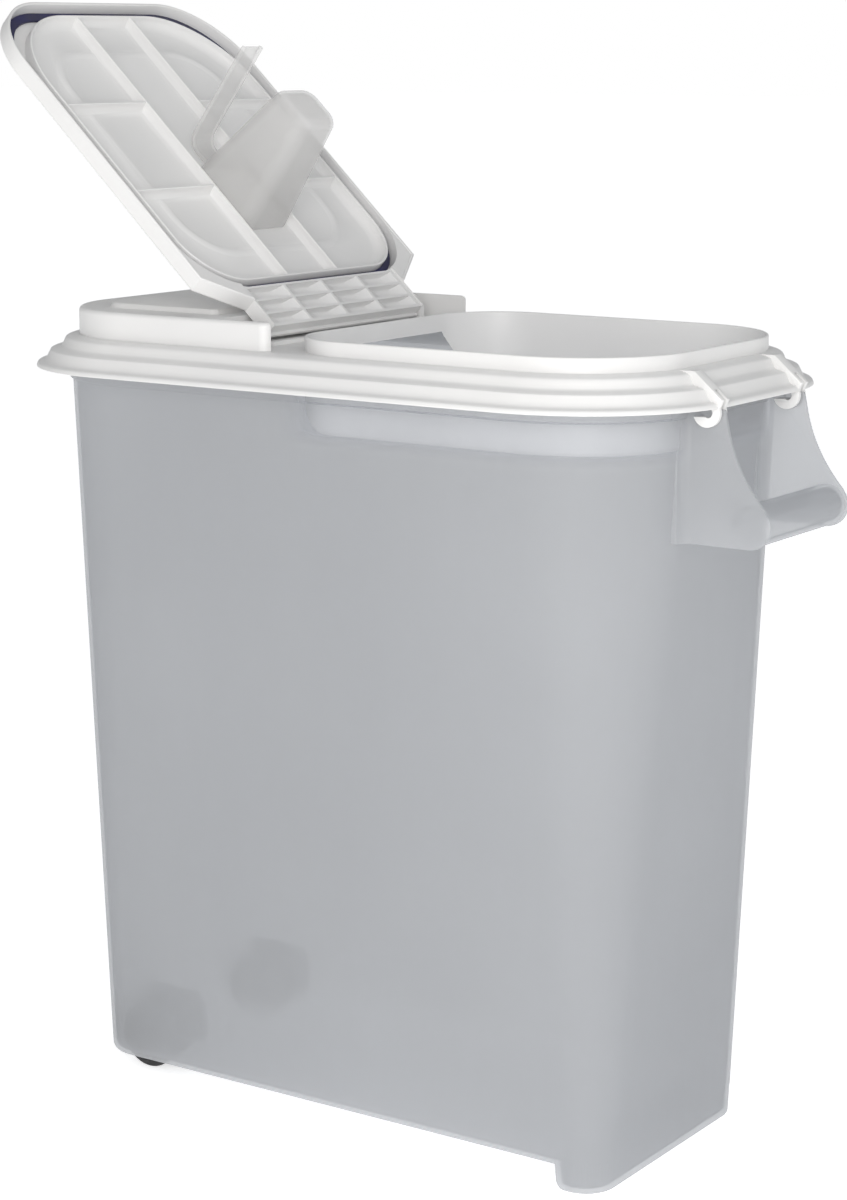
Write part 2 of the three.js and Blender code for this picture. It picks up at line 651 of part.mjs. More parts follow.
// a flat seal on the floor of the channel round the plug
function makeGasket() {
  const low = toZ(GASKET_W);
  const high = toZ(SKIN_W + SKIN_THICK + GAP);
  const start = CRATE_END + GAP;
  const inset = DOOR_WALL + GASKET_MARGIN;
  const ring = prismZ(roundedOutline(
    toX(start), toX(DOOR_LENGTH - inset), DOOR_HALF_WIDTH - inset,
    CHANNEL_START + CHANNEL_CORNER_REAR - start, DOOR_CORNER - inset,
  ), low, high);
  const hole = prismZ(roundedOutline(
    toX(PLUG_START - GAP), toX(PLUG_END + GAP), PLUG_HALF_WIDTH + GAP, PLUG_CORNER_REAR + GAP, GASKET_CORNER,
  ), low - 1, high + 1);
  return namedMesh('door_gasket', ring.subtract(hole), gasketRubber);
}

function scoopRing(share, inset, w) {
  const mix = (key) => THREE.MathUtils.lerp(SCOOP_MOUTH[key], SCOOP_END[key], share);
  return {
    z: toZ(w),
    outline: roundedOutline(
      toX(mix('start') + inset), toX(mix('end') - inset), mix('halfWidth') - inset,
      mix('corner') - inset, mix('corner') - inset,
    ),
  };
}

function makeScoop() {
  const depth = SCOOP_END.w - SCOOP_MOUTH.w;
  const cup = (wall, mouthW) => {
    const edge = SCOOP_EDGE - wall;
    const endW = SCOOP_END.w - wall;
    const rings = [0, 1, 2, 3].map((i) => {
      const angle = (Math.PI / 2) * (i / 3);
      const w = endW - edge * (1 - Math.cos(angle));
      return scoopRing((w - SCOOP_MOUTH.w) / depth, wall + edge * (1 - Math.sin(angle)), w);
    });
    return loft([...rings, scoopRing((mouthW - SCOOP_MOUTH.w) / depth, wall, mouthW)]);
  };
  const half = SCOOP_HANDLE_HALF_WIDTH;
  const t = SCOOP_HANDLE_THICK;
  const low = SCOOP_MOUTH.w;
  const centreU = SCOOP_HANDLE_U - SCOOP_BEND;
  const bend = (radius) => arc(centreU, low + SCOOP_BEND, radius, -90, -5, 7);
  const outline = [
    [SCOOP_MOUTH.end - 4, low],
    ...bend(SCOOP_BEND),
    [SCOOP_TIP.u, SCOOP_TIP.w],
    [SCOOP_TIP.u - t, SCOOP_TIP.w + 0.4],
    ...bend(SCOOP_BEND - t).reverse(),
    [SCOOP_MOUTH.end - 4, low + t],
  ];
  const strip = prismY(outline.map(([u, w]) => [toX(u), toZ(w)]).reverse(), -half, half);
  const outside = cup(0, SCOOP_MOUTH.w).add(strip);
  return namedMesh('scoop', outside.subtract(cup(SCOOP_WALL, SCOOP_MOUTH.w - 1)), scoopPlastic);
}

// ---------------------------------------------------------------- wheels

function makeWheel(name, side) {
  const half = WHEEL_WIDTH / 2;
  const bore = AXLE_RADIUS + 0.25;
  const tread = WHEEL_RADIUS - WHEEL_TYRE;
  const web = half - WHEEL_RECESS;
  const lowerHalf = [
    [bore, -half], [WHEEL_HUB, -half], [WHEEL_HUB, -web], [tread, -web], [tread, -half],
    [WHEEL_RADIUS - WHEEL_BEVEL, -half], [WHEEL_RADIUS, WHEEL_BEVEL - half],
  ];
  const upperHalf = lowerHalf.map(([r, y]) => [r, -y]).reverse();
  const profile = [...lowerHalf, ...upperHalf, lowerHalf[0]];
  const geometry = new THREE.LatheGeometry(profile.map(([r, y]) => new THREE.Vector2(r, y)), 40);
  const mesh = namedMesh(name, solid(geometry), wheelPlastic);
  mesh.position.set(WHEEL_X, WHEEL_Y * side, WHEEL_RADIUS);
  return mesh;
}

function makeAxle(name, side) {
  const mesh = namedMesh(name, barY(AXLE_RADIUS, 0, 0, -AXLE_LENGTH / 2, AXLE_LENGTH / 2, 24), axleSteel);
  mesh.position.set(WHEEL_X, WHEEL_Y * side, WHEEL_RADIUS);
  return mesh;
}

// ---------------------------------------------------------------- assembly

const bin = new THREE.Group();
bin.add(makeBinBody(), makeLid());
for (const [name, side] of [['near', -1], ['far', 1]]) {
  bin.add(makeWheel(`wheel_${name}`, side), makeAxle(`axle_${name}`, side));
}

const openDoor = new THREE.Group();
openDoor.position.set(PIVOT_X, 0, PIVOT_Z);
openDoor.rotation.y = -DOOR_OPEN;
openDoor.add(makeDoor(), makeGasket(), makeScoop());
bin.add(openDoor);

// the origin is on the ground, under the middle of the whole object
bin.updateMatrixWorld(true);
const extent = new THREE.Box3().setFromObject(bin, true);
bin.position.x = -(extent.min.x + extent.max.x) / 2;

for (const made of solids) made.delete();

export default bin;
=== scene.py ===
"""Rolling pet food bin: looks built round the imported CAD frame.

Shapes are drawn in millimetres in the bin's own drawing frame (x = 0 under the middle of the lid flange)
and are turned into metres in the row frame when a piece is made.
"""
import json
import math

import bmesh
import bpy
from mathutils import Matrix, Vector


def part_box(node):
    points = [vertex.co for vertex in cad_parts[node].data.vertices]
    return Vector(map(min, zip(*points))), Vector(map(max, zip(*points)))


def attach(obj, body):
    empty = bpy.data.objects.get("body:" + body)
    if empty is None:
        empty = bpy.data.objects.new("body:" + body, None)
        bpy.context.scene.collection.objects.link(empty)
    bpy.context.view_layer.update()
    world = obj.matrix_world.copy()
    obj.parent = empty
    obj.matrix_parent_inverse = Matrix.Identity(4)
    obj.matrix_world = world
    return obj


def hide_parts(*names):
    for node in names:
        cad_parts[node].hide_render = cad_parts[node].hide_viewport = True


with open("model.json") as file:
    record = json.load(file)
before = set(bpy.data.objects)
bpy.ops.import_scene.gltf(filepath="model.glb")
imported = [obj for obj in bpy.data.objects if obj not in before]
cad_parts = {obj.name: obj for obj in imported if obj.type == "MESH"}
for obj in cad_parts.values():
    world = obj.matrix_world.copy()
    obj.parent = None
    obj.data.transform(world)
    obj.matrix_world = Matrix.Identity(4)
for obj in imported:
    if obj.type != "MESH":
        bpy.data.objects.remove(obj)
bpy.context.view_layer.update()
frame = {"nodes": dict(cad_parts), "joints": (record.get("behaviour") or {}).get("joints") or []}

# ---------------------------------------------------------------- dimensions, mm

MM = 0.001
STEPS = 20                       # facets on each rounded plan corner
WALL = 2.4

FLANGE_HALF_LENGTH = 257.8
FLANGE_HALF_WIDTH = 146.5
FLANGE_CORNER = 103
FLANGE_Z = 500
DECK_Z = 521.5
COLLAR_INSET = 29.3
COLLAR_TOP_Z = 530.9
COLLAR_REAR_X = -27.4
COLLAR_REAR_CORNER = 48
THROAT_Z = 472
THROAT_CURVE_LENGTH = 40
THROAT_CURVE_RISE = 47
PLATFORM_TOP_Z = 539.6
PLATFORM_FRONT_X = -33.5
PLATFORM_EDGE = 3
NOTCH_REAR_X = -75
NOTCH_HALF_WIDTH = 112

TUB_Z = 15.5
TUB_HALF_LENGTH_LOW = 203.75
TUB_HALF_WIDTH_LOW = 96.15
TUB_CORNER_LOW = 24
TUB_HALF_LENGTH_TOP = 234.1
TUB_HALF_WIDTH_TOP = 122.8
TUB_CORNER_TOP = 80
TUB_EDGE = 6
BAND_Z = 496
BAND_STEP = 2.4
RIM_Z = 516.1
RIM_FRONT_X = 195                # the rim dips from here on, so that the lid can tilt
RIM_FRONT_Z = 506
FOOT_REAR_X = 171.5

CHEEK_Y = 52
CHEEK_THICK = 3
CHEEK_TOP_Z = 499
CHEEK_ROOT = 8                   # radius where it flares into the tub
CHEEK_ROOT_LENGTH = 5.2
CHEEK_EDGE = ((287, 440.5), (266, 463), (261, 490))      # front edge over the grip: start, pull, end
GRIP_X = 277
GRIP_Z = 430
GRIP_RADIUS = 13
PEG_X = 249.5
PEG_Z = 497
PEG_RADIUS = 2.8
HOOK_RADIUS = 9
HOOK_PLATE = 3
FORK_HALF_GAP = 1.9
FORK_DEPTH = 14

WHEEL_X = -181
WHEEL_Y = 61
WHEEL_RADIUS = 23
WHEEL_WIDTH = 18
WHEEL_TYRE = 5
WHEEL_HUB = 7
WHEEL_RECESS = 4
WHEEL_BEVEL = 1.5
WHEEL_SPOKES = 6
SPOKE_THICK = 1.8
AXLE_RADIUS = 2.6
WELL_FRONT_X = -153.5
WELL_TOP_Z = 49.5
WELL_HALF_WIDTH = 18
WELL_CORNER = 12
HANGER_GAP = 10.6
HANGER_THICK = 2.4
HANGER_HALF_LENGTH = 9
HANGER_SNAP = 0.3                # how much tighter than the pin the slot is, on each side

PIVOT_X = -59.05
PIVOT_Z = 531.97
PIVOT_U = 3.75
PIVOT_W = -6.17
PIN_RADIUS = 2.2
HEEL_RADIUS = 6.2
LUG_Y = 88.7
LUG_THICK = 5
LUG_RADIUS = 4.7
DOOR_LENGTH = 298.5
DOOR_HALF_WIDTH = 121
DOOR_CORNER = 58
BLOCK_HALF_WIDTH = 85
BLOCK_LENGTH = 22
CHAMFER_END = 44
SKIN_W = -10
FLOOR_W = -7.5                   # inner face of the door's skin
RIM_W = 2.5
DOOR_WALL = 2.2
CHANNEL_START = 33.8
CHANNEL_CORNER_REAR = 49.6
CORNER_W = 1.5
PLUG_START = 40
PLUG_END = 288
PLUG_HALF_WIDTH = 111.5
PLUG_CORNER_REAR = 42
PLUG_CORNER_FRONT = 68
PLUG_W = 0.5
RIB_THICK = 1.8
RIB_Y = 28
CROSS_RIB_U = (125, 204)
CRATE_U = (0.8, 11.3, 22.6, 33.8)
CRATE_Y = (-82.4, -41.2, 0, 41.2, 82.4)
CRATE_RIB = 1.6
CRATE_END = CRATE_U[-1] + CRATE_RIB / 2
GASKET_W = -5.4
GASKET_CORNER = 47               # front corner of its inner edge
GASKET_MARGIN = 0.4
GAP = 0.35                       # room between pieces that touch

SCOOP_MOUTH = {"w": -6.9, "start": 88, "end": 147, "half": 26.5, "corner": 11}
SCOOP_END = {"w": 78, "start": 101, "end": 136, "half": 20, "corner": 11}
SCOOP_WALL = 1.8
SCOOP_EDGE = 6
SCOOP_HANDLE_HALF = 10.5
SCOOP_RAIL = 2.6                 # width of the handle's raised edges
SCOOP_RAIL_RISE = 1.2            # how far the web between them lies below their outer face
SCOOP_HANDLE_THICK = 2.4
SCOOP_HANDLE_U = 172
SCOOP_TIP = (180, 74)
SCOOP_BEND = 12

joints = {joint["name"]: joint for joint in frame["joints"]}
DOOR_OPEN = math.radians(joints["door_hinge"]["range_deg"][1])
SHIFT_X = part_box("lid")[0].x / MM + FLANGE_HALF_LENGTH      # drawing frame to row frame

TO_ROW = Matrix.Scale(MM, 4) @ Matrix.Translation((SHIFT_X, 0, 0))
DOOR_TO_ROW = TO_ROW @ Matrix.Translation((PIVOT_X, 0, PIVOT_Z)) @ Matrix.Rotation(-DOOR_OPEN, 4, "Y")

# ---------------------------------------------------------------- camera

CAMERA_AT = (1040.2, -1527.3, 715.8)
CAMERA_AIM = (6.9, 0, 346.9)
LENS = 84.29


def make_camera():
    data = bpy.data.cameras.new("camera")
    data.lens = LENS
    data.sensor_width = 36
    camera = bpy.data.objects.new("camera", data)
    bpy.context.scene.collection.objects.link(camera)
    camera.location = TO_ROW @ Vector(CAMERA_AT)
    aim = TO_ROW @ Vector(CAMERA_AIM)
    camera.rotation_euler = (aim - camera.location).to_track_quat("-Z", "Y").to_euler()
    bpy.context.scene.camera = camera


# ---------------------------------------------------------------- drawing helpers

def lerp(a, b, share):
    return a + (b - a) * share


def arc(cx, cy, radius, start, end, steps):
    """Points on an arc, angles in degrees."""
    points = []
    for i in range(steps + 1):
        angle = math.radians(lerp(start, end, i / steps))
        points.append((cx + radius * math.cos(angle), cy + radius * math.sin(angle)))
    return points


def smooth_path(points, steps):
    """A Catmull-Rom curve through points, as a denser list of points."""
    padded = [points[0], *points, points[-1]]
    path = []
    for i in range(1, len(padded) - 2):
        p0, p1, p2, p3 = padded[i - 1:i + 3]
        for k in range(steps):
            t = k / steps
            path.append(tuple(
                0.5 * (2 * b + (c - a) * t + (2 * a - 5 * b + 4 * c - d) * t * t
                       + (3 * b - a - 3 * c + d) * t ** 3)
                for a, b, c, d in zip(p0, p1, p2, p3)
            ))
    path.append(points[-1])
    return path


def rounded_outline(x0, x1, half, rear, front):
    """A rounded rectangle in plan, anticlockwise, with its own rear and front corner radius."""
    rear = max(rear, 0.15)
    front = max(front, 0.15)
    return [
        *arc(x1 - front, front - half, front, -90, 0, STEPS),
        *arc(x1 - front, half - front, front, 0, 90, STEPS),
        *arc(x0 + rear, half - rear, rear, 90, 180, STEPS),
        *arc(x0 + rear, rear - half, rear, 180, 270, STEPS),
    ]


def new_object(name, vertices, faces):
    mesh = bpy.data.meshes.new(name)
    mesh.from_pydata(vertices, [], faces)
    obj = bpy.data.objects.new(name, mesh)
    bpy.context.scene.collection.objects.link(obj)
    tidy = bmesh.new()
    tidy.from_mesh(mesh)
    bmesh.ops.remove_doubles(tidy, verts=tidy.verts, dist=1e-4)
    bmesh.ops.recalc_face_normals(tidy, faces=tidy.faces)
    tidy.to_mesh(mesh)
    tidy.free()
    return obj


def loft(rings):
    """A closed skin over (height, outline) rings with the same number of points."""
    count = len(rings[0][1])
    vertices = [(x, y, z) for z, outline in rings for x, y in outline]
    faces = [tuple(reversed(range(count)))]
    for ring in range(len(rings) - 1):
        low = ring * count
        for i in range(count):
            j = (i + 1) % count
            faces.append((low + i, low + j, low + count + j, low + count + i))
    faces.append(tuple(range((len(rings) - 1) * count, len(rings) * count)))
    return new_object("loft", vertices, faces)


def prism(points, low, high, axis="Z"):
    """An outline pushed along Z, or an (x, z) outline pushed along Y, or a (y, z) one along X."""
    def spot(a, b, level):
        return {"Z": (a, b, level), "Y": (a, level, b), "X": (level, a, b)}[axis]

    count = len(points)
    vertices = [spot(a, b, low) for a, b in points] + [spot(a, b, high) for a, b in points]
    faces = [tuple(reversed(range(count))), tuple(range(count, 2 * count))]
    faces += [(i, (i + 1) % count, count + (i + 1) % count, count + i) for i in range(count)]
    return new_object("prism", vertices, faces)


def block(x0, x1, y0, y1, z0, z1):
    return prism([(x0, y0), (x1, y0), (x1, y1), (x0, y1)], z0, z1)


def bar_y(radius, x, z, y0, y1, steps=48):
    """A round bar along Y."""
    return prism(arc(x, z, radius, 0, 360 - 360 / steps, steps - 1), y0, y1, "Y")


def lathe_y(profile, x, y, z, steps=64):
    """A closed (radius, offset along Y) profile turned about a line along Y."""
    count = len(profile)
    vertices = []
    for i in range(steps):
        angle = 2 * math.pi * i / steps
        vertices += [(x + r * math.cos(angle), y + h, z + r * math.sin(angle)) for r, h in profile]
    faces = []
    for i in range(steps):
        for k in range(count):
            a, b = i * count + k, i * count + (k + 1) % count
            step = count if i < steps - 1 else count - steps * count
            faces.append((a, b, b + step, a + step))
    return new_object("lathe", vertices, faces)


def mirrored(obj):
    """The same solid on the other side of the middle plane."""
    obj.data.transform(Matrix.Scale(-1, 4, (0, 1, 0)))
    obj.data.flip_normals()
    return obj


def apply_modifiers(obj):
    graph = bpy.context.evaluated_depsgraph_get()
    mesh = bpy.data.meshes.new_from_object(obj.evaluated_get(graph))
    obj.modifiers.clear()
    obj.data = mesh


def combine(base, others, operation):
    """Boolean of base with each of the others, which are used up."""
    for other in others:
        modifier = base.modifiers.new("boolean", "BOOLEAN")
        modifier.operation = operation
        modifier.solver = "MANIFOLD"
        modifier.object = other
    apply_modifiers(base)
    for other in others:
        bpy.data.objects.remove(other)
    return base


def join(base, *others):
    return combine(base, others, "UNION")


def cut(base, *others):
    return combine(base, others, "DIFFERENCE")


def common(base, other):
    return combine(base, [other], "INTERSECT")


def soften(obj, width, angle=35, segments=2):
    """Small rounded edges wherever two faces meet at more than the angle."""
    modifier = obj.modifiers.new("soften", "BEVEL")
    modifier.width = width
    modifier.segments = segments
    modifier.limit_method = "ANGLE"
    modifier.angle_limit = math.radians(angle)
    modifier.use_clamp_overlap = True
    apply_modifiers(obj)
    return obj


def finish_piece(obj, name, place, material, body, nodes, sharp=32):
    """Names a drawn piece, puts it in the row frame and ties it to its body and CAD nodes."""
    obj.name = name
    obj.data.name = name
    obj.data.transform(place)
    for polygon in obj.data.polygons:
        polygon.use_smooth = True
    obj.data.set_sharp_from_angle(angle=math.radians(sharp))
    obj.data.materials.clear()
    obj.data.materials.append(material)
    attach(obj, body)
    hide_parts(*nodes)
    return obj


# ---------------------------------------------------------------- materials

class Nodes:
    """Short way to lay out a material's node tree."""

    def __init__(self, name):
        self.material = bpy.data.materials.new(name)
        self.material.use_nodes = True
        self.tree = self.material.node_tree
        self.tree.nodes.clear()
        self.output = self.add("ShaderNodeOutputMaterial")
        self.place = self.add("ShaderNodeTexCoord").outputs["Object"]

    def add(self, kind, **settings):
        node = self.tree.nodes.new(kind)
        for key, value in settings.items():
            setattr(node, key, value)
        return node

    def link(self, source, target):
        self.tree.links.new(source, target)

    def noise(self, scale, detail=3, stretch=(1, 1, 1), roughness=0.5):
        mapping = self.add("ShaderNodeMapping")
        mapping.inputs["Scale"].default_value = stretch
        self.link(self.place, mapping.inputs["Vector"])
        node = self.add("ShaderNodeTexNoise")
        node.inputs["Scale"].default_value = scale
        node.inputs["Detail"].default_value = detail
        node.inputs["Roughness"].default_value = roughness
        self.link(mapping.outputs["Vector"], node.inputs["Vector"])
        return node.outputs["Fac"]

    def ramp(self, axis, start, end):
        """0 before the start and 1 past the end of a stretch along X, Y or Z, in metres."""
        split = self.add("ShaderNodeSeparateXYZ")
        self.link(self.place, split.inputs[0])
        return self.spread(split.outputs[axis], 0, 1, start, end)

    def maths(self, operation, *values):
        node = self.add("ShaderNodeMath", operation=operation)
        for socket, value in zip(node.inputs, values):
            if isinstance(value, (int, float)):
                socket.default_value = value
            else:
                self.link(value, socket)
        return node.outputs[0]

    def spread(self, source, low, high, start=0.3, end=0.7):
        """Maps start..end onto low..high, with soft ends."""
        node = self.add("ShaderNodeMapRange", interpolation_type="SMOOTHSTEP")
        for key, value in (("From Min", start), ("From Max", end), ("To Min", low), ("To Max", high)):
            node.inputs[key].default_value = value
        self.link(source, node.inputs["Value"])
        return node.outputs["Result"]

    def tint(self, source, first, second):
        """Colour that runs from first to second with a 0 to 1 value."""
        node = self.add("ShaderNodeMix", data_type="RGBA")
        node.inputs["A"].default_value = (*first, 1)
        node.inputs["B"].default_value = (*second, 1)
        self.link(source, node.inputs["Factor"])
        return node.outputs["Result"]

    def bump(self, source, strength, distance, below=None):
        node = self.add("ShaderNodeBump")
        node.inputs["Strength"].default_value = strength
        node.inputs["Distance"].default_value = distance
        self.link(source, node.inputs["Height"])
        if below is not None:
            self.link(below, node.inputs["Normal"])
        return node.outputs["Normal"]

    def principled(self, color, roughness, normal, **values):
        node = self.add("ShaderNodeBsdfPrincipled")
        self.link(color, node.inputs["Base Color"])
        self.link(roughness, node.inputs["Roughness"])
        self.link(normal, node.inputs["Normal"])
        for key, value in values.items():
            node.inputs[key.replace("_", " ")].default_value = value
        return node.outputs["BSDF"]

    def blend(self, share, first, second):
        node = self.add("ShaderNodeMixShader")
        if isinstance(share, float):
            node.inputs[0].default_value = share
        else:
            self.link(share, node.inputs[0])
        self.link(first, node.inputs[1])
        self.link(second, node.inputs[2])
        return node.outputs[0]

    def glow_through(self, color, normal):
        node = self.add("ShaderNodeBsdfTranslucent")
        self.link(color, node.inputs["Color"])
        self.link(normal, node.inputs["Normal"])
        return node.outputs[0]

    def clear(self, color):
        node = self.add("ShaderNodeBsdfTransparent")
        node.inputs["Color"].default_value = (*color, 1)
        return node.outputs[0]

    def done(self, shader):
        self.link(shader, self.output.inputs["Surface"])
        return self.material


# Where the lid's sleeve stands behind the tub's wall, in metres; each edge fades over a stretch.
SLEEVE_REAR = (-0.032, 0)
SLEEVE_FRONT = (0.222, 0.23)
SLEEVE_LOW = (0.464, 0.476)


def natural_plastic(name, light, dark, clear_share, glow_share, cast, clearer_top=0.0):
    """Milky natural polypropylene: satin, lets light through, faint flow marks and handling scuffs."""
    n = Nodes(name)
    flow = n.noise(7, 4, (1, 1, 0.25))
    cloud = n.noise(3, 2)
    scuff = n.noise(90, 6, (1, 1, 0.35), 0.7)
    grain = n.noise(900, 2)
    color = n.tint(n.spread(cloud, 0, 1), dark, light)
    fine = n.bump(grain, 0.12, 0.0002)
    normal = n.bump(flow, 0.25, 0.0012, fine)
    roughness = n.spread(scuff, 0.3, 0.46, 0.35, 0.7)
    surface = n.principled(color, roughness, normal, IOR=1.49)
    milky = n.blend(glow_share, surface, n.glow_through(color, normal))
    share = n.spread(flow, clear_share * 0.96, clear_share * 1.04)
    if clearer_top:
        along = n.maths("SUBTRACT", n.ramp("X", *SLEEVE_REAR), n.ramp("X", *SLEEVE_FRONT))
        top = n.maths("MULTIPLY", n.ramp("Z", *SLEEVE_LOW), along)
        share = n.maths("MULTIPLY_ADD", top, clearer_top, share)
    return n.done(n.blend(share, milky, n.clear(cast)))


def white_plastic(name):
    """White polypropylene moulding: satin grain, slight unevenness, a little light through thin walls."""
    n = Nodes(name)
    cloud = n.noise(5, 3)
    grain = n.noise(1400, 2)
    ripple = n.noise(28, 2)
    scuff = n.noise(160, 7, (1, 1, 1), 0.75)
    color = n.tint(n.spread(cloud, 0, 1), (0.805, 0.80, 0.795), (0.865, 0.86, 0.85))
    fine = n.bump(grain, 0.15, 0.00015)
    normal = n.bump(ripple, 0.12, 0.0008, fine)
    roughness = n.spread(scuff, 0.3, 0.45, 0.35, 0.68)
    surface = n.principled(color, roughness, normal, IOR=1.49)
    return n.done(n.blend(0.14, surface, n.glow_through(color, normal)))


def rubber(name, light, dark):
    """Matte rubber with fine pitting and dusty patches."""
    n = Nodes(name)
    pits = n.noise(1800, 3)
    dust = n.noise(45, 5)
    color = n.tint(n.spread(dust, 0, 1), dark, light)
    normal = n.bump(pits, 0.3, 0.00015)
    roughness = n.spread(dust, 0.42, 0.62)
    return n.done(n.principled(color, roughness, normal))


def wheel_plastic(name):
    """Black moulded plastic, scuffed grey where it rolls."""
    n = Nodes(name)
    scuff = n.noise(130, 7, (1, 0.3, 1), 0.7)
    grain = n.noise(1500, 2)
    color = n.tint(n.spread(scuff, 0, 1, 0.5, 0.8), (0.012, 0.012, 0.014), (0.07, 0.07, 0.07))
    normal = n.bump(scuff, 0.25, 0.0002, n.bump(grain, 0.2, 0.0001))
    roughness = n.spread(scuff, 0.35, 0.62)
    return n.done(n.principled(color, roughness, normal))


def plated_steel(name):
    """Bright plated pin with fine turning marks and dull specks."""
    n = Nodes(name)
    turned = n.noise(60, 3, (1, 30, 1))
    specks = n.noise(400, 4)
    color = n.tint(n.spread(specks, 0, 1), (0.55, 0.55, 0.56), (0.68, 0.68, 0.7))
    normal = n.bump(turned, 0.2, 0.0001)
    roughness = n.spread(turned, 0.22, 0.38)
    return n.done(n.principled(color, roughness, normal, Metallic=1))


TUB_PLASTIC = natural_plastic(
    "tub_plastic", (0.665, 0.672, 0.684), (0.615, 0.622, 0.634), 0.42, 0.57, (0.933, 0.94, 0.954), 0.34,
)
SCOOP_PLASTIC = natural_plastic(
    "scoop_plastic", (0.87, 0.865, 0.86), (0.81, 0.805, 0.80), 0.62, 0.42, (0.97, 0.968, 0.966),
)
LID_PLASTIC = white_plastic("lid_plastic")
GASKET_RUBBER = rubber("gasket_rubber", (0.02, 0.018, 0.09), (0.008, 0.008, 0.045))
WHEEL_PLASTIC = wheel_plastic("wheel_plastic")
AXLE_STEEL = plated_steel("axle_steel")

# ---------------------------------------------------------------- tub


def tub_outline(z, inset):
    share = (min(z, FLANGE_Z) - TUB_Z) / (FLANGE_Z - TUB_Z)
    half_length = lerp(TUB_HALF_LENGTH_LOW, TUB_HALF_LENGTH_TOP, share) - inset
    half_width = lerp(TUB_HALF_WIDTH_LOW, TUB_HALF_WIDTH_TOP, share) - inset
    corner = lerp(TUB_CORNER_LOW, TUB_CORNER_TOP, share) - inset
    return rounded_outline(-half_length, half_length, half_width, corner, corner)


def bottom_rings(z, inset, radius, steps):
    rings = []
    for i in range(steps + 1):
        angle = math.pi / 2 * i / steps
        height = z + radius * (1 - math.cos(angle))
        rings.append((height, tub_outline(height, inset + radius * (1 - math.sin(angle)))))
    return rings


def tub_inside():
    heights = [lerp(30, FLANGE_Z, i / 12) for i in range(13)]
    return loft([
        *bottom_rings(TUB_Z + WALL, WALL, TUB_EDGE - 1, 6),
        *[(z, tub_outline(z, WALL)) for z in heights],
        (RIM_Z + 1, tub_outline(RIM_Z, WALL)),
    ])


def tub_outside():
    heights = [lerp(30, BAND_Z - 3, i / 12) for i in range(13)]
    band = [(BAND_Z - 2 + x, -inset) for inset, x in arc(0, 0, BAND_STEP, -60, 0, 4)]
    return loft([
        *bottom_rings(TUB_Z, 0, TUB_EDGE, 6),
        *[(z, tub_outline(z, 0)) for z in heights],
        *[(z, tub_outline(z, inset)) for z, inset in band],
        (FLANGE_Z, tub_outline(FLANGE_Z, -BAND_STEP)),
        (RIM_Z - 0.8, tub_outline(RIM_Z, -BAND_STEP)),
        (RIM_Z, tub_outline(RIM_Z, 0.8 - BAND_STEP)),
    ])


def rim_front():
    half = FLANGE_HALF_WIDTH
    return block(RIM_FRONT_X, FLANGE_HALF_LENGTH, -half, half, RIM_FRONT_Z, RIM_Z + 1)


def foot(inset, rear_x, low_z, radius):
    rise = 30
    edge = 2.5
    column = loft([*bottom_rings(low_z, inset, edge, 4), (rise, tub_outline(rise, inset))])
    side = prism([
        (rear_x, rise),
        *arc(rear_x + 1 + radius, low_z + radius, radius, 180, 270, 8),
        (TUB_HALF_LENGTH_TOP, low_z - 1),
        (TUB_HALF_LENGTH_TOP, rise),
    ], -FLANGE_HALF_WIDTH, FLANGE_HALF_WIDTH, "Y")
    return common(column, side)


def bezier(start, control, end, steps):
    points = []
    for i in range(steps + 1):
        t = i / steps
        points.append(tuple(
            (1 - t) ** 2 * a + 2 * t * (1 - t) * b + t * t * c for a, b, c in zip(start, control, end)
        ))
    return points


def cheek(side):
    corner = GRIP_RADIUS + 1
    half = CHEEK_THICK / 2
    plate = prism([
        (TUB_HALF_LENGTH_LOW, CHEEK_TOP_Z),
        (TUB_HALF_LENGTH_LOW, GRIP_Z - corner),
        *arc(GRIP_X, GRIP_Z, corner, -90, 35, 16),
        *bezier(*CHEEK_EDGE, 16),
        (PEG_X + 9.5, CHEEK_TOP_Z),
    ], CHEEK_Y - 14, CHEEK_Y + 14, "Y")
    root_x = TUB_HALF_LENGTH_TOP + CHEEK_ROOT_LENGTH
    plan = prism([
        (TUB_HALF_LENGTH_LOW, CHEEK_Y - half - CHEEK_ROOT),
        (root_x - CHEEK_ROOT + 1, CHEEK_Y - half - CHEEK_ROOT),
        *arc(root_x, CHEEK_Y - half - CHEEK_ROOT, CHEEK_ROOT, 170, 90, 10),
        (GRIP_X + GRIP_RADIUS * 2, CHEEK_Y - half),
        (GRIP_X + GRIP_RADIUS * 2, CHEEK_Y + half),
        *arc(root_x, CHEEK_Y + half + CHEEK_ROOT, CHEEK_ROOT, -90, -170, 10),
        (TUB_HALF_LENGTH_LOW, CHEEK_Y + half + CHEEK_ROOT),
    ], GRIP_Z - corner - 1, CHEEK_TOP_Z + 1)
    peg = bar_y(PEG_RADIUS, PEG_X, PEG_Z, CHEEK_Y - half - HOOK_PLATE, CHEEK_Y + half + HOOK_PLATE)
    made = join(soften(common(plate, plan), 0.7), peg)
    return made if side > 0 else mirrored(made)


def grip():
    reach = CHEEK_Y - 1
    inner = CHEEK_Y - CHEEK_THICK / 2
    bar = bar_y(GRIP_RADIUS, GRIP_X, GRIP_Z, -reach, reach, 64)
    bore = bar_y(GRIP_RADIUS - WALL, GRIP_X, GRIP_Z, -inner, inner, 64)
    mouth = prism([
        (GRIP_X, GRIP_Z),
        (GRIP_X - GRIP_RADIUS * 2, GRIP_Z - 4),
        (GRIP_X - GRIP_RADIUS * 2, GRIP_Z - GRIP_RADIUS * 2),
        (GRIP_X - 3, GRIP_Z - GRIP_RADIUS * 2),
    ], -inner, inner, "Y")
    return cut(bar, bore, mouth)


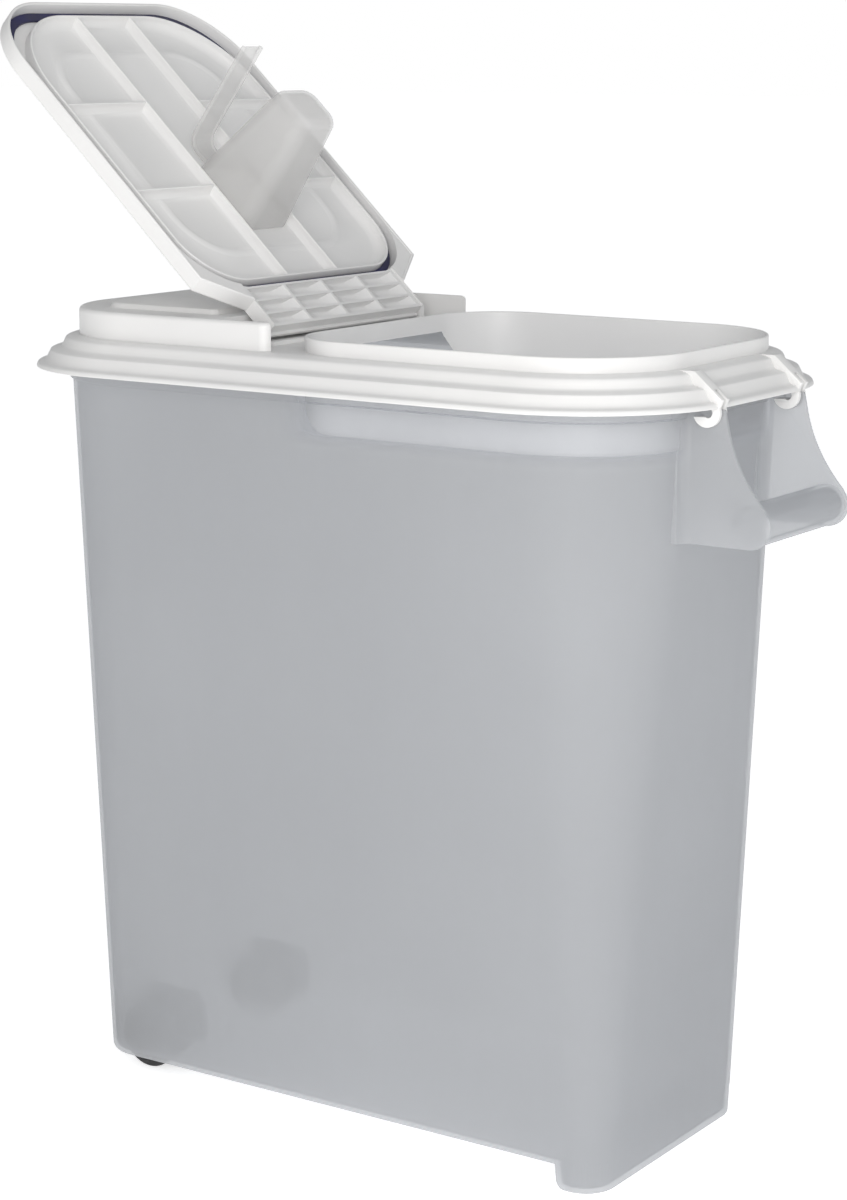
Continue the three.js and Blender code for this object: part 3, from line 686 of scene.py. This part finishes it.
def well_shape(side, grow):
    y = WHEEL_Y * side
    behind = -TUB_HALF_LENGTH_TOP
    below = TUB_Z - WALL
    half = WELL_HALF_WIDTH + grow
    return prism([
        (behind, below),
        (WELL_FRONT_X + grow, below),
        *arc(
            WELL_FRONT_X + grow - WELL_CORNER, WELL_TOP_Z + grow - WELL_CORNER, WELL_CORNER, 0, 90, 10,
        ),
        (behind, WELL_TOP_Z + grow),
    ], y - half, y + half, "Y")


def tub_core():
    return loft([
        *bottom_rings(TUB_Z + WALL / 2, WALL / 2, TUB_EDGE, 3),
        (BAND_Z, tub_outline(BAND_Z, WALL / 2)),
    ])


def hangers(side):
    y = WHEEL_Y * side
    slot_half = AXLE_RADIUS - HANGER_SNAP
    plates = []
    for end in (-1, 1):
        near = y + end * HANGER_GAP
        far = near + end * HANGER_THICK
        plates.append(block(
            WHEEL_X - HANGER_HALF_LENGTH, WHEEL_X + HANGER_HALF_LENGTH,
            min(near, far), max(near, far), TUB_Z, WELL_TOP_Z + 1,
        ))
    low_y = y - WELL_HALF_WIDTH
    high_y = y + WELL_HALF_WIDTH
    bore = bar_y(AXLE_RADIUS + GAP, WHEEL_X, WHEEL_RADIUS, low_y, high_y, 32)
    slot = block(WHEEL_X - slot_half, WHEEL_X + slot_half, low_y, high_y, 0, WHEEL_RADIUS)
    return cut(join(*plates), bore, slot)


def make_tub():
    shell = cut(tub_outside(), rim_front())
    body = join(shell, foot(0.2, FOOT_REAR_X, 0, 8), cheek(-1), cheek(1), grip())
    cut(body, tub_inside(), foot(WALL + 0.4, FOOT_REAR_X + WALL, WALL, 6))
    for side in (-1, 1):
        join(body, common(well_shape(side, WALL), tub_core()))
        cut(body, well_shape(side, 0))
        join(body, hangers(side))
    finish_piece(body, "tub", TO_ROW, TUB_PLASTIC, "bin", ["bin_body"])


# ---------------------------------------------------------------- lid

MOULDING_OUTSIDE = [
    (0.1, 500), (0.3, 501), (1.6, 502.9), (6, 504.4), (9, 509.5), (10.5, 511.3),
    (16.5, 513), (18.2, 515.2), (19.5, 518), (21.5, 519.8), (28, DECK_Z),
]
MOULDING_INSIDE = [
    (2.2, 499), (2.2, 500.6), (7.4, 502.2), (10.4, 508), (12, 509.6),
    (17.6, 511.2), (19.6, 513.6), (21.1, 516.5), (24, 518), (29, DECK_Z - WALL),
]
WALL_END_X = FLANGE_HALF_LENGTH - COLLAR_INSET
WALL_HALF_WIDTH = FLANGE_HALF_WIDTH - COLLAR_INSET
WALL_CORNER = FLANGE_CORNER - COLLAR_INSET


def flange_outline(inset):
    return rounded_outline(
        inset - FLANGE_HALF_LENGTH, FLANGE_HALF_LENGTH - inset, FLANGE_HALF_WIDTH - inset,
        FLANGE_CORNER - inset, FLANGE_CORNER - inset,
    )


def moulding(profile, steps):
    return loft([(z, flange_outline(inset)) for inset, z in smooth_path(profile, steps)])


def platform_outline(inset, front=7):
    return rounded_outline(
        inset - WALL_END_X, PLATFORM_FRONT_X - inset, WALL_HALF_WIDTH - inset,
        WALL_CORNER - inset, front - inset,
    )


def platform_block():
    low = DECK_Z - WALL
    edge = [
        (PLATFORM_TOP_Z - PLATFORM_EDGE + z, platform_outline(PLATFORM_EDGE - x))
        for x, z in arc(0, 0, PLATFORM_EDGE, 0, 90, 8)
    ]
    return loft([(low, platform_outline(0)), *edge])


def notch(grow, floor):
    half = NOTCH_HALF_WIDTH + grow
    return block(NOTCH_REAR_X - grow, 0, -half, half, floor, PLATFORM_TOP_Z + 1)


def platform_hollow():
    low = DECK_Z - WALL * 2 - 1
    hollow = loft([
        (low, platform_outline(WALL)),
        (PLATFORM_TOP_Z - WALL, platform_outline(WALL)),
    ])
    return cut(hollow, notch(WALL + 0.6, low - 1))


def platform_panel():
    """Low raised panel on the platform's top, behind the open door."""
    rear_x, front_x, half, corner = -192, -92, 94, 20
    slope, rise, round_off = 2.4, 3.4, 0.8

    def outline(inset):
        return rounded_outline(rear_x + inset, front_x - inset, half - inset, corner - inset, 6 - inset)

    top = PLATFORM_TOP_Z + rise
    return loft([
        (PLATFORM_TOP_Z - 1, outline(-round_off)),
        (PLATFORM_TOP_Z, outline(-round_off)),
        (PLATFORM_TOP_Z + round_off * 0.3, outline(0)),
        (top - round_off, outline(slope - round_off)),
        (top - round_off * 0.3, outline(slope - round_off * 0.4)),
        (top, outline(slope + round_off * 0.4)),
    ])


def collar_outline(inset):
    return rounded_outline(
        COLLAR_REAR_X + inset, WALL_END_X - inset, WALL_HALF_WIDTH - inset,
        COLLAR_REAR_CORNER - inset, WALL_CORNER - inset,
    )


def collar_tube():
    lip = WALL / 2
    rim = [(COLLAR_TOP_Z - lip + z, collar_outline(lip - x)) for x, z in arc(0, 0, lip, 0, 90, 5)]
    tube = loft([(THROAT_Z, collar_outline(0)), (DECK_Z, collar_outline(0)), *rim])
    rear = COLLAR_REAR_X + WALL
    side = prism([
        (COLLAR_REAR_X - 1, COLLAR_TOP_Z + 1),
        (COLLAR_REAR_X - 1, THROAT_Z + THROAT_CURVE_RISE),
        *[
            (rear + (THROAT_CURVE_LENGTH - WALL) * (1 + x), THROAT_Z + THROAT_CURVE_RISE * (1 + z))
            for x, z in arc(0, 0, 1, 180, 270, 20)
        ],
        (COLLAR_REAR_X + THROAT_CURVE_LENGTH + 1, THROAT_Z - 0.5),
        (WALL_END_X + 1, THROAT_Z - 0.5),
        (WALL_END_X + 1, COLLAR_TOP_Z + 1),
    ], -FLANGE_HALF_WIDTH, FLANGE_HALF_WIDTH, "Y")
    return common(tube, side)


def collar_opening():
    lip = WALL / 2
    rim = [(COLLAR_TOP_Z - lip + z, collar_outline(lip + x)) for x, z in arc(0, 0, lip, 0, 80, 5)]
    return loft([(THROAT_Z - 5, collar_outline(WALL)), *rim, (COLLAR_TOP_Z + 5, collar_outline(lip))])


def hook_parts(side):
    y = CHEEK_Y * side
    half = FORK_HALF_GAP + HOOK_PLATE
    fin = prism([
        (WALL_END_X + 1, DECK_Z - 1.7),
        (WALL_END_X + 1, DECK_Z - 0.2),
        (PEG_X - 9.4, DECK_Z - 0.2),
        (PEG_X + 9.5, FLANGE_Z + 5),
        *arc(PEG_X - 1, PEG_Z, HOOK_RADIUS, 20, -172, 30),
        (PEG_X - 10, FLANGE_Z + 0.5),
        (PEG_X - 10, 511),
        (PEG_X - 12.5, 516.6),
    ], y - half, y + half, "Y")
    mouth = prism([
        (PEG_X, PEG_Z + PEG_RADIUS),
        (PEG_X - 16, PEG_Z + 3),
        (PEG_X - 16, PEG_Z - 3.4),
        (PEG_X, PEG_Z - PEG_RADIUS + 0.4),
    ], y - half - 1, y + half + 1, "Y")
    bore = bar_y(PEG_RADIUS + GAP, PEG_X, PEG_Z, y - half - 1, y + half + 1)
    slot = bar_y(FORK_DEPTH, PEG_X, PEG_Z, y - FORK_HALF_GAP, y + FORK_HALF_GAP)
    return soften(cut(fin, mouth), 0.5), [bore, slot]


def lug(side):
    y = LUG_Y * side
    near = y - LUG_THICK / 2
    far = y + LUG_THICK / 2
    upright = prism([
        (PIVOT_X - LUG_RADIUS, DECK_Z - 1),
        (PIVOT_X + LUG_RADIUS, DECK_Z - 1),
        *arc(PIVOT_X, PIVOT_Z, LUG_RADIUS, 0, 180, 16),
    ], near, far, "Y")
    return cut(upright, bar_y(PIN_RADIUS + 0.25, PIVOT_X, PIVOT_Z, near - 1, far + 1, 32))


def make_lid():
    hooks = [hook_parts(side) for side in (-1, 1)]
    body = join(moulding(MOULDING_OUTSIDE, 4), cut(platform_block(), notch(0, DECK_Z)))
    cut(body, moulding(MOULDING_INSIDE, 3), platform_hollow())
    join(body, platform_panel())
    shelf = block(PIVOT_X - 6, PIVOT_X + 8, -BLOCK_HALF_WIDTH, BLOCK_HALF_WIDTH, DECK_Z - 1, DECK_Z + 2.3)
    join(body, collar_tube(), soften(shelf, 0.6), lug(-1), lug(1), *[fin for fin, _ in hooks])
    cut(body, collar_opening(), *[cutter for _, cutters in hooks for cutter in cutters])
    finish_piece(body, "lid_moulding", TO_ROW, LID_PLASTIC, "lid", ["lid"])


# ---------------------------------------------------------------- door
# Drawn shut, about the pivot: X = u - PIVOT_U and Z = PIVOT_W - w.


def to_x(u):
    return u - PIVOT_U


def to_z(w):
    return PIVOT_W - w


def door_outline(inset):
    slant = math.hypot(CHAMFER_END - BLOCK_LENGTH, DOOR_HALF_WIDTH - BLOCK_HALF_WIDTH)
    along = inset * (slant - (CHAMFER_END - BLOCK_LENGTH)) / (DOOR_HALF_WIDTH - BLOCK_HALF_WIDTH)
    half = DOOR_HALF_WIDTH - inset
    hinge_half = BLOCK_HALF_WIDTH - inset
    lower = [
        (inset, -hinge_half),
        (BLOCK_LENGTH + along, -hinge_half),
        (CHAMFER_END + along, -half),
        *arc(
            DOOR_LENGTH - DOOR_CORNER, DOOR_CORNER - DOOR_HALF_WIDTH, DOOR_CORNER - inset, -90, 0, STEPS,
        ),
    ]
    upper = [(u, -y) for u, y in reversed(lower)]
    return [(to_x(u), y) for u, y in lower + upper]


def door_block(u0, u1, y0, y1, w0, w1):
    return block(to_x(u0), to_x(u1), y0, y1, to_z(w1), to_z(w0))


def door_shell():
    """Skin, side walls with a rounded lip, and the channel floor, as one closed skin."""
    edge = 2.6
    lip = DOOR_WALL / 2
    fillet = 1.6
    outside = [(to_z(SKIN_W) - edge + z, door_outline(edge - x)) for x, z in arc(0, 0, edge, 90, 0, 6)]
    rim = [(to_z(RIM_W) + lip + z, door_outline(lip - x)) for x, z in arc(0, 0, lip, 0, -180, 8)]
    floor = [
        (to_z(FLOOR_W) - fillet + z, door_outline(DOOR_WALL + fillet + x))
        for x, z in arc(0, 0, fillet, 180, 90, 5)
    ]
    return loft([*outside, *rim, *floor])


def plug_outline(inset):
    return rounded_outline(
        to_x(PLUG_START + inset), to_x(PLUG_END - inset), PLUG_HALF_WIDTH - inset,
        PLUG_CORNER_REAR - inset, PLUG_CORNER_FRONT - inset,
    )


def plug_frame():
    """The plug's wall: straight outside, rounded top, and a soft fillet down to the panel inside."""
    top = RIB_THICK / 2
    fillet = 7
    low = to_z(FLOOR_W) + 0.8
    outer = loft([
        (low, plug_outline(0)),
        *[(to_z(PLUG_W) + top + z, plug_outline(top - x)) for x, z in arc(0, 0, top, 0, -90, 4)],
    ])
    inner = loft([
        (low + 1, plug_outline(RIB_THICK + fillet)),
        *[
            (to_z(FLOOR_W) - fillet + z, plug_outline(RIB_THICK + fillet + x))
            for x, z in arc(0, 0, fillet, 90, 180, 6)
        ],
        *[(to_z(PLUG_W) + top - z, plug_outline(top + x)) for x, z in arc(0, 0, top, 0, 80, 4)],
        (to_z(PLUG_W) - 1, plug_outline(top)),
    ])
    return cut(outer, inner)


def rib_section(height):
    """Half-profile of a rib: (offset from its mid plane, w), wide and filleted at its foot."""
    half = RIB_THICK / 2
    fillet = 6.6
    foot_line = [(half + fillet - fillet * math.sin(a), FLOOR_W + fillet - fillet * math.cos(a))
                 for a in (math.pi / 2 * i / 6 for i in range(7))]
    top = [(half * math.cos(a), height - half + half * math.sin(a))
           for a in (math.pi / 2 * i / 4 for i in range(5))]
    right = [(half + fillet, FLOOR_W - 0.8), *foot_line, *top]
    return right + [(-offset, w) for offset, w in reversed(right[:-1])]


def long_rib(y):
    outline = [(y + offset, to_z(w)) for offset, w in rib_section(0)]
    return prism(outline, to_x(PLUG_START + 1), to_x(PLUG_END - 1), "X")


def cross_rib(u, y0, y1):
    outline = [(to_x(u + offset), to_z(w)) for offset, w in rib_section(-0.3)]
    return prism(outline, y0, y1, "Y")


def panel_bead():
    """Rounded bead that runs round the panel inside the plug."""
    start, end, half, corner, width, rise = 66, 262, 88, 40, 9, 1.0

    def ring(share):
        inset = width * share
        w = FLOOR_W + rise * math.sin(math.pi * share) - 0.01
        return (to_z(w), rounded_outline(
            to_x(start + inset), to_x(end - inset), half - inset, corner - inset, corner - inset,
        ))

    outer = loft([(to_z(FLOOR_W - 0.8), ring(0)[1]), *[ring(i / 12) for i in range(7)]])
    inner = loft([(to_z(FLOOR_W - 0.6), ring(1)[1]), *[ring(1 - i / 12) for i in range(6)],
                  (to_z(FLOOR_W + rise + 0.5), ring(0.55)[1])])
    return cut(outer, inner)


def door_corners():
    """Flat corners between the slanted walls and the rounded end of the channel."""
    half = DOOR_HALF_WIDTH
    hinge_half = BLOCK_HALF_WIDTH
    plate = prism(door_outline(DOOR_WALL / 2), to_z(CORNER_W), to_z(SKIN_W + 1))
    common(plate, door_block(0, CHANNEL_START + CHANNEL_CORNER_REAR, -half, half, SKIN_W, RIM_W))
    channel = prism(rounded_outline(
        to_x(CHANNEL_START), to_x(DOOR_LENGTH), half - DOOR_WALL, CHANNEL_CORNER_REAR, DOOR_CORNER,
    ), to_z(RIM_W), to_z(SKIN_W))
    cut(
        plate, channel,
        door_block(-1, CRATE_END, 1 - hinge_half, hinge_half - 1, SKIN_W, RIM_W),
        door_block(-1, CHAMFER_END, -hinge_half, hinge_half, 0, RIM_W),
    )
    return plate


POCKET_SECTION = [                # rise above the floor, how far the walls stand in along u and along y
    (2.4, 2.6, 16), (2.9, 1.5, 13), (3.7, 0.8, 9), (4.9, 0.4, 5), (6.2, 0.2, 2), (7.3, 0.1, 0.4),
    (8.7, 0.3, 0.3),
]


def pocket(u0, u1, y0, y1):
    rings = []
    for rise, along_u, along_y in POCKET_SECTION:
        low_x, high_x = to_x(u0 + along_u), to_x(u1 - along_u)
        low_y, high_y = y0 + along_y, y1 - along_y
        corners = [(low_x, low_y), (high_x, low_y), (high_x, high_y), (low_x, high_y)]
        rings.append((to_z(FLOOR_W + rise), corners))
    return loft(rings)


def crate():
    """Hinge-end block with its grid of tapered pockets."""
    solid = door_block(0, CRATE_END, -BLOCK_HALF_WIDTH, BLOCK_HALF_WIDTH, SKIN_W + 0.5, 0)
    half = CRATE_RIB / 2
    pockets = []
    for u0, u1 in zip(CRATE_U, CRATE_U[1:]):
        for y0, y1 in zip(CRATE_Y, CRATE_Y[1:]):
            pockets.append(pocket(u0 + half, u1 - half, y0 + half, y1 - half))
    return cut(solid, *pockets)


def make_door():
    lowered = BLOCK_HALF_WIDTH - 0.01
    body = cut(door_shell(), door_block(-1, CHAMFER_END - 8, -lowered, lowered, 0, RIM_W + 1))
    heel = common(
        bar_y(HEEL_RADIUS, 0, 0, -BLOCK_HALF_WIDTH + 1, BLOCK_HALF_WIDTH - 1, 64),
        block(-HEEL_RADIUS - 1, 0.5, -BLOCK_HALF_WIDTH, BLOCK_HALF_WIDTH, 0, HEEL_RADIUS + 1),
    )
    reach = LUG_Y + LUG_THICK / 2 - 0.5
    pins = [bar_y(PIN_RADIUS, 0, 0, BLOCK_HALF_WIDTH - 1, reach, 32)]
    pins.append(bar_y(PIN_RADIUS, 0, 0, -reach, 1 - BLOCK_HALF_WIDTH, 32))
    ribs = [long_rib(-RIB_Y), long_rib(RIB_Y)]
    for u in CROSS_RIB_U:
        ribs.append(cross_rib(u, 1 - PLUG_HALF_WIDTH, -RIB_Y))
        ribs.append(cross_rib(u, RIB_Y, PLUG_HALF_WIDTH - 1))
    join(body, crate(), door_corners(), heel, *pins, plug_frame(), panel_bead(), *ribs)
    finish_piece(body, "door_moulding", DOOR_TO_ROW, LID_PLASTIC, "door", ["door"])


def make_gasket():
    """Flat ring with a raised bead, lying on the channel floor round the plug."""
    low = to_z(GASKET_W)
    high = to_z(FLOOR_W + GAP)
    start = CRATE_END + GAP
    margin = DOOR_WALL + GASKET_MARGIN
    rear_corner = CHANNEL_START + CHANNEL_CORNER_REAR - start

    def outline(inset):
        edge = margin + inset
        return rounded_outline(
            to_x(start + inset), to_x(DOOR_LENGTH - edge), DOOR_HALF_WIDTH - edge,
            rear_corner - inset, DOOR_CORNER - edge,
        )

    ring = loft([(high, outline(0)), (low + 0.8, outline(0)), (low + 0.2, outline(0.4)), (low, outline(1))])
    hole = prism(rounded_outline(
        to_x(PLUG_START - GAP), to_x(PLUG_END + GAP), PLUG_HALF_WIDTH + GAP,
        PLUG_CORNER_REAR + GAP, GASKET_CORNER,
    ), low - 1, high + 1)
    body = cut(ring, hole)
    finish_piece(body, "door_seal", DOOR_TO_ROW, GASKET_RUBBER, "door", ["door_gasket"])


# ---------------------------------------------------------------- scoop

def scoop_ring(inset, w):
    share = (w - SCOOP_MOUTH["w"]) / (SCOOP_END["w"] - SCOOP_MOUTH["w"])
    start, end, half, corner = (
        lerp(SCOOP_MOUTH[key], SCOOP_END[key], share) for key in ("start", "end", "half", "corner")
    )
    return (to_z(w), rounded_outline(
        to_x(start + inset), to_x(end - inset), half - inset, corner - inset, corner - inset,
    ))


def scoop_cup(wall, mouth_w):
    edge = SCOOP_EDGE - wall * 0.6
    end_w = SCOOP_END["w"] - wall
    rings = []
    for i in range(9):
        angle = math.pi / 2 * i / 8
        w = end_w - edge * (1 - math.cos(angle))
        rings.append(scoop_ring(wall + edge * (1 - math.sin(angle)), w))
    body = [scoop_ring(wall, lerp(end_w - edge, mouth_w, (i + 1) / 8)) for i in range(8)]
    return loft([*rings, *body])


def handle_strip(thick, y0, y1, raise_by=0.0):
    low = SCOOP_MOUTH["w"]
    centre = (SCOOP_HANDLE_U - SCOOP_BEND, low + SCOOP_BEND)
    outer = arc(*centre, SCOOP_BEND - raise_by, -90, -5, 12)
    inner = arc(*centre, SCOOP_BEND - raise_by - thick, -5, -90, 12)
    tip_u, tip_w = SCOOP_TIP
    outline = [
        (SCOOP_MOUTH["end"] - 4, low + raise_by),
        *outer,
        (tip_u - raise_by, tip_w),
        (tip_u - raise_by - thick, tip_w + 0.4),
        *inner,
        (SCOOP_MOUTH["end"] - 4, low + raise_by + thick),
    ]
    return prism([(to_x(u), to_z(w)) for u, w in outline], y0, y1, "Y")


def make_scoop():
    half = SCOOP_HANDLE_HALF
    web = handle_strip(SCOOP_HANDLE_THICK - SCOOP_RAIL_RISE, -half + 1, half - 1, SCOOP_RAIL_RISE)
    near_rail = handle_strip(SCOOP_HANDLE_THICK + 0.8, -half, SCOOP_RAIL - half)
    far_rail = handle_strip(SCOOP_HANDLE_THICK + 0.8, half - SCOOP_RAIL, half)
    handle = join(web, soften(near_rail, 0.8), soften(far_rail, 0.8))
    body = join(scoop_cup(0, SCOOP_MOUTH["w"]), handle)
    cut(body, scoop_cup(SCOOP_WALL, SCOOP_MOUTH["w"] - 1))
    finish_piece(body, "scoop_moulding", DOOR_TO_ROW, SCOOP_PLASTIC, "scoop", ["scoop"])


# ---------------------------------------------------------------- wheels

def make_wheel(name, side):
    half = WHEEL_WIDTH / 2
    bore = AXLE_RADIUS + 0.25
    rim = WHEEL_RADIUS - WHEEL_TYRE
    web = half - WHEEL_RECESS
    edge = 0.6
    tread = [
        (WHEEL_RADIUS - WHEEL_BEVEL + x, half - WHEEL_BEVEL + y)
        for x, y in arc(0, 0, WHEEL_BEVEL, 90, 0, 5)
    ]
    outer_side = [
        *tread[::-1], (rim + edge, half), (rim, half - edge), (rim - edge, web), (WHEEL_HUB + edge, web),
        (WHEEL_HUB, half - edge), (WHEEL_HUB - edge, half), (bore, half),
    ]
    inner_side = [(radius, -height) for radius, height in reversed(outer_side)]
    wheel = lathe_y(inner_side + outer_side, WHEEL_X, WHEEL_Y * side, WHEEL_RADIUS)
    spokes = []
    for i in range(WHEEL_SPOKES):
        spoke = block(WHEEL_HUB - 1, rim + 0.5, -SPOKE_THICK / 2, SPOKE_THICK / 2, 1 - half, half - 1)
        around = Matrix.Rotation(2 * math.pi * i / WHEEL_SPOKES, 4, "Z")
        turn = Matrix.Rotation(math.pi / 2, 4, "X") @ around
        spoke.data.transform(Matrix.Translation((WHEEL_X, WHEEL_Y * side, WHEEL_RADIUS)) @ turn)
        spokes.append(spoke)
    join(wheel, *spokes)
    finish_piece(wheel, name + "_moulding", TO_ROW, WHEEL_PLASTIC, name, [name])


def dress_axles():
    for side in ("near", "far"):
        axle = frame["nodes"]["axle_" + side]
        axle.data.materials.clear()
        axle.data.materials.append(AXLE_STEEL)


# ---------------------------------------------------------------- studio

AMBIENT = 0.42                   # light from all round, as a share of white
FLOOR_GLOW = 0.65                # keeps the floor as white as the background


def make_floor():
    size = 60
    bpy.ops.mesh.primitive_plane_add(size=size, location=(0, 0, 0))
    floor = bpy.context.active_object
    floor.name = "floor"
    material = bpy.data.materials.new("floor")
    material.use_nodes = True
    shader = material.node_tree.nodes["Principled BSDF"]
    shader.inputs["Base Color"].default_value = (0.92, 0.92, 0.92, 1)
    shader.inputs["Roughness"].default_value = 0.8
    shader.inputs["Emission Color"].default_value = (1, 1, 1, 1)
    shader.inputs["Emission Strength"].default_value = FLOOR_GLOW
    floor.data.materials.append(material)


def soft_light(name, towards, distance, size, level, color):
    """Square area light that faces the bin; level is the share of white that it gives a facing surface."""
    aim = Vector((0, 0, 0.4))
    data = bpy.data.lights.new(name, "AREA")
    data.size = size
    data.color = color
    data.energy = level * math.pi ** 2 * distance ** 2
    light = bpy.data.objects.new(name, data)
    bpy.context.scene.collection.objects.link(light)
    light.location = aim + Vector(towards).normalized() * distance
    light.rotation_euler = (aim - light.location).to_track_quat("-Z", "Y").to_euler()


def make_world():
    """White behind the bin, dimmer as a light on it."""
    world = bpy.data.worlds.new("studio")
    bpy.context.scene.world = world
    world.use_nodes = True
    tree = world.node_tree
    seen = tree.nodes["Background"]
    seen.inputs["Color"].default_value = (1, 1, 1, 1)
    seen.inputs["Strength"].default_value = 1
    lighting = tree.nodes.new("ShaderNodeBackground")
    lighting.inputs["Color"].default_value = (0.968, 0.982, 1, 1)
    lighting.inputs["Strength"].default_value = AMBIENT
    rays = tree.nodes.new("ShaderNodeLightPath")
    choose = tree.nodes.new("ShaderNodeMixShader")
    tree.links.new(rays.outputs["Is Camera Ray"], choose.inputs[0])
    tree.links.new(lighting.outputs[0], choose.inputs[1])
    tree.links.new(seen.outputs[0], choose.inputs[2])
    tree.links.new(choose.outputs[0], tree.nodes["World Output"].inputs["Surface"])


def make_studio():
    bpy.context.scene.view_settings.view_transform = "Standard"
    make_floor()
    make_world()
    soft_light("key", (0.48, -0.84, 0.26), 1.6, 0.8, 0.53, (1, 0.985, 0.965))
    soft_light("fill", (0.66, -0.25, 0.7), 2.6, 1.4, 0.13, (0.96, 0.98, 1))


make_camera()
make_studio()
make_tub()
make_lid()
make_door()
make_gasket()
make_scoop()
for wheel_name, wheel_side in (("wheel_near", -1), ("wheel_far", 1)):
    make_wheel(wheel_name, wheel_side)
dress_axles()
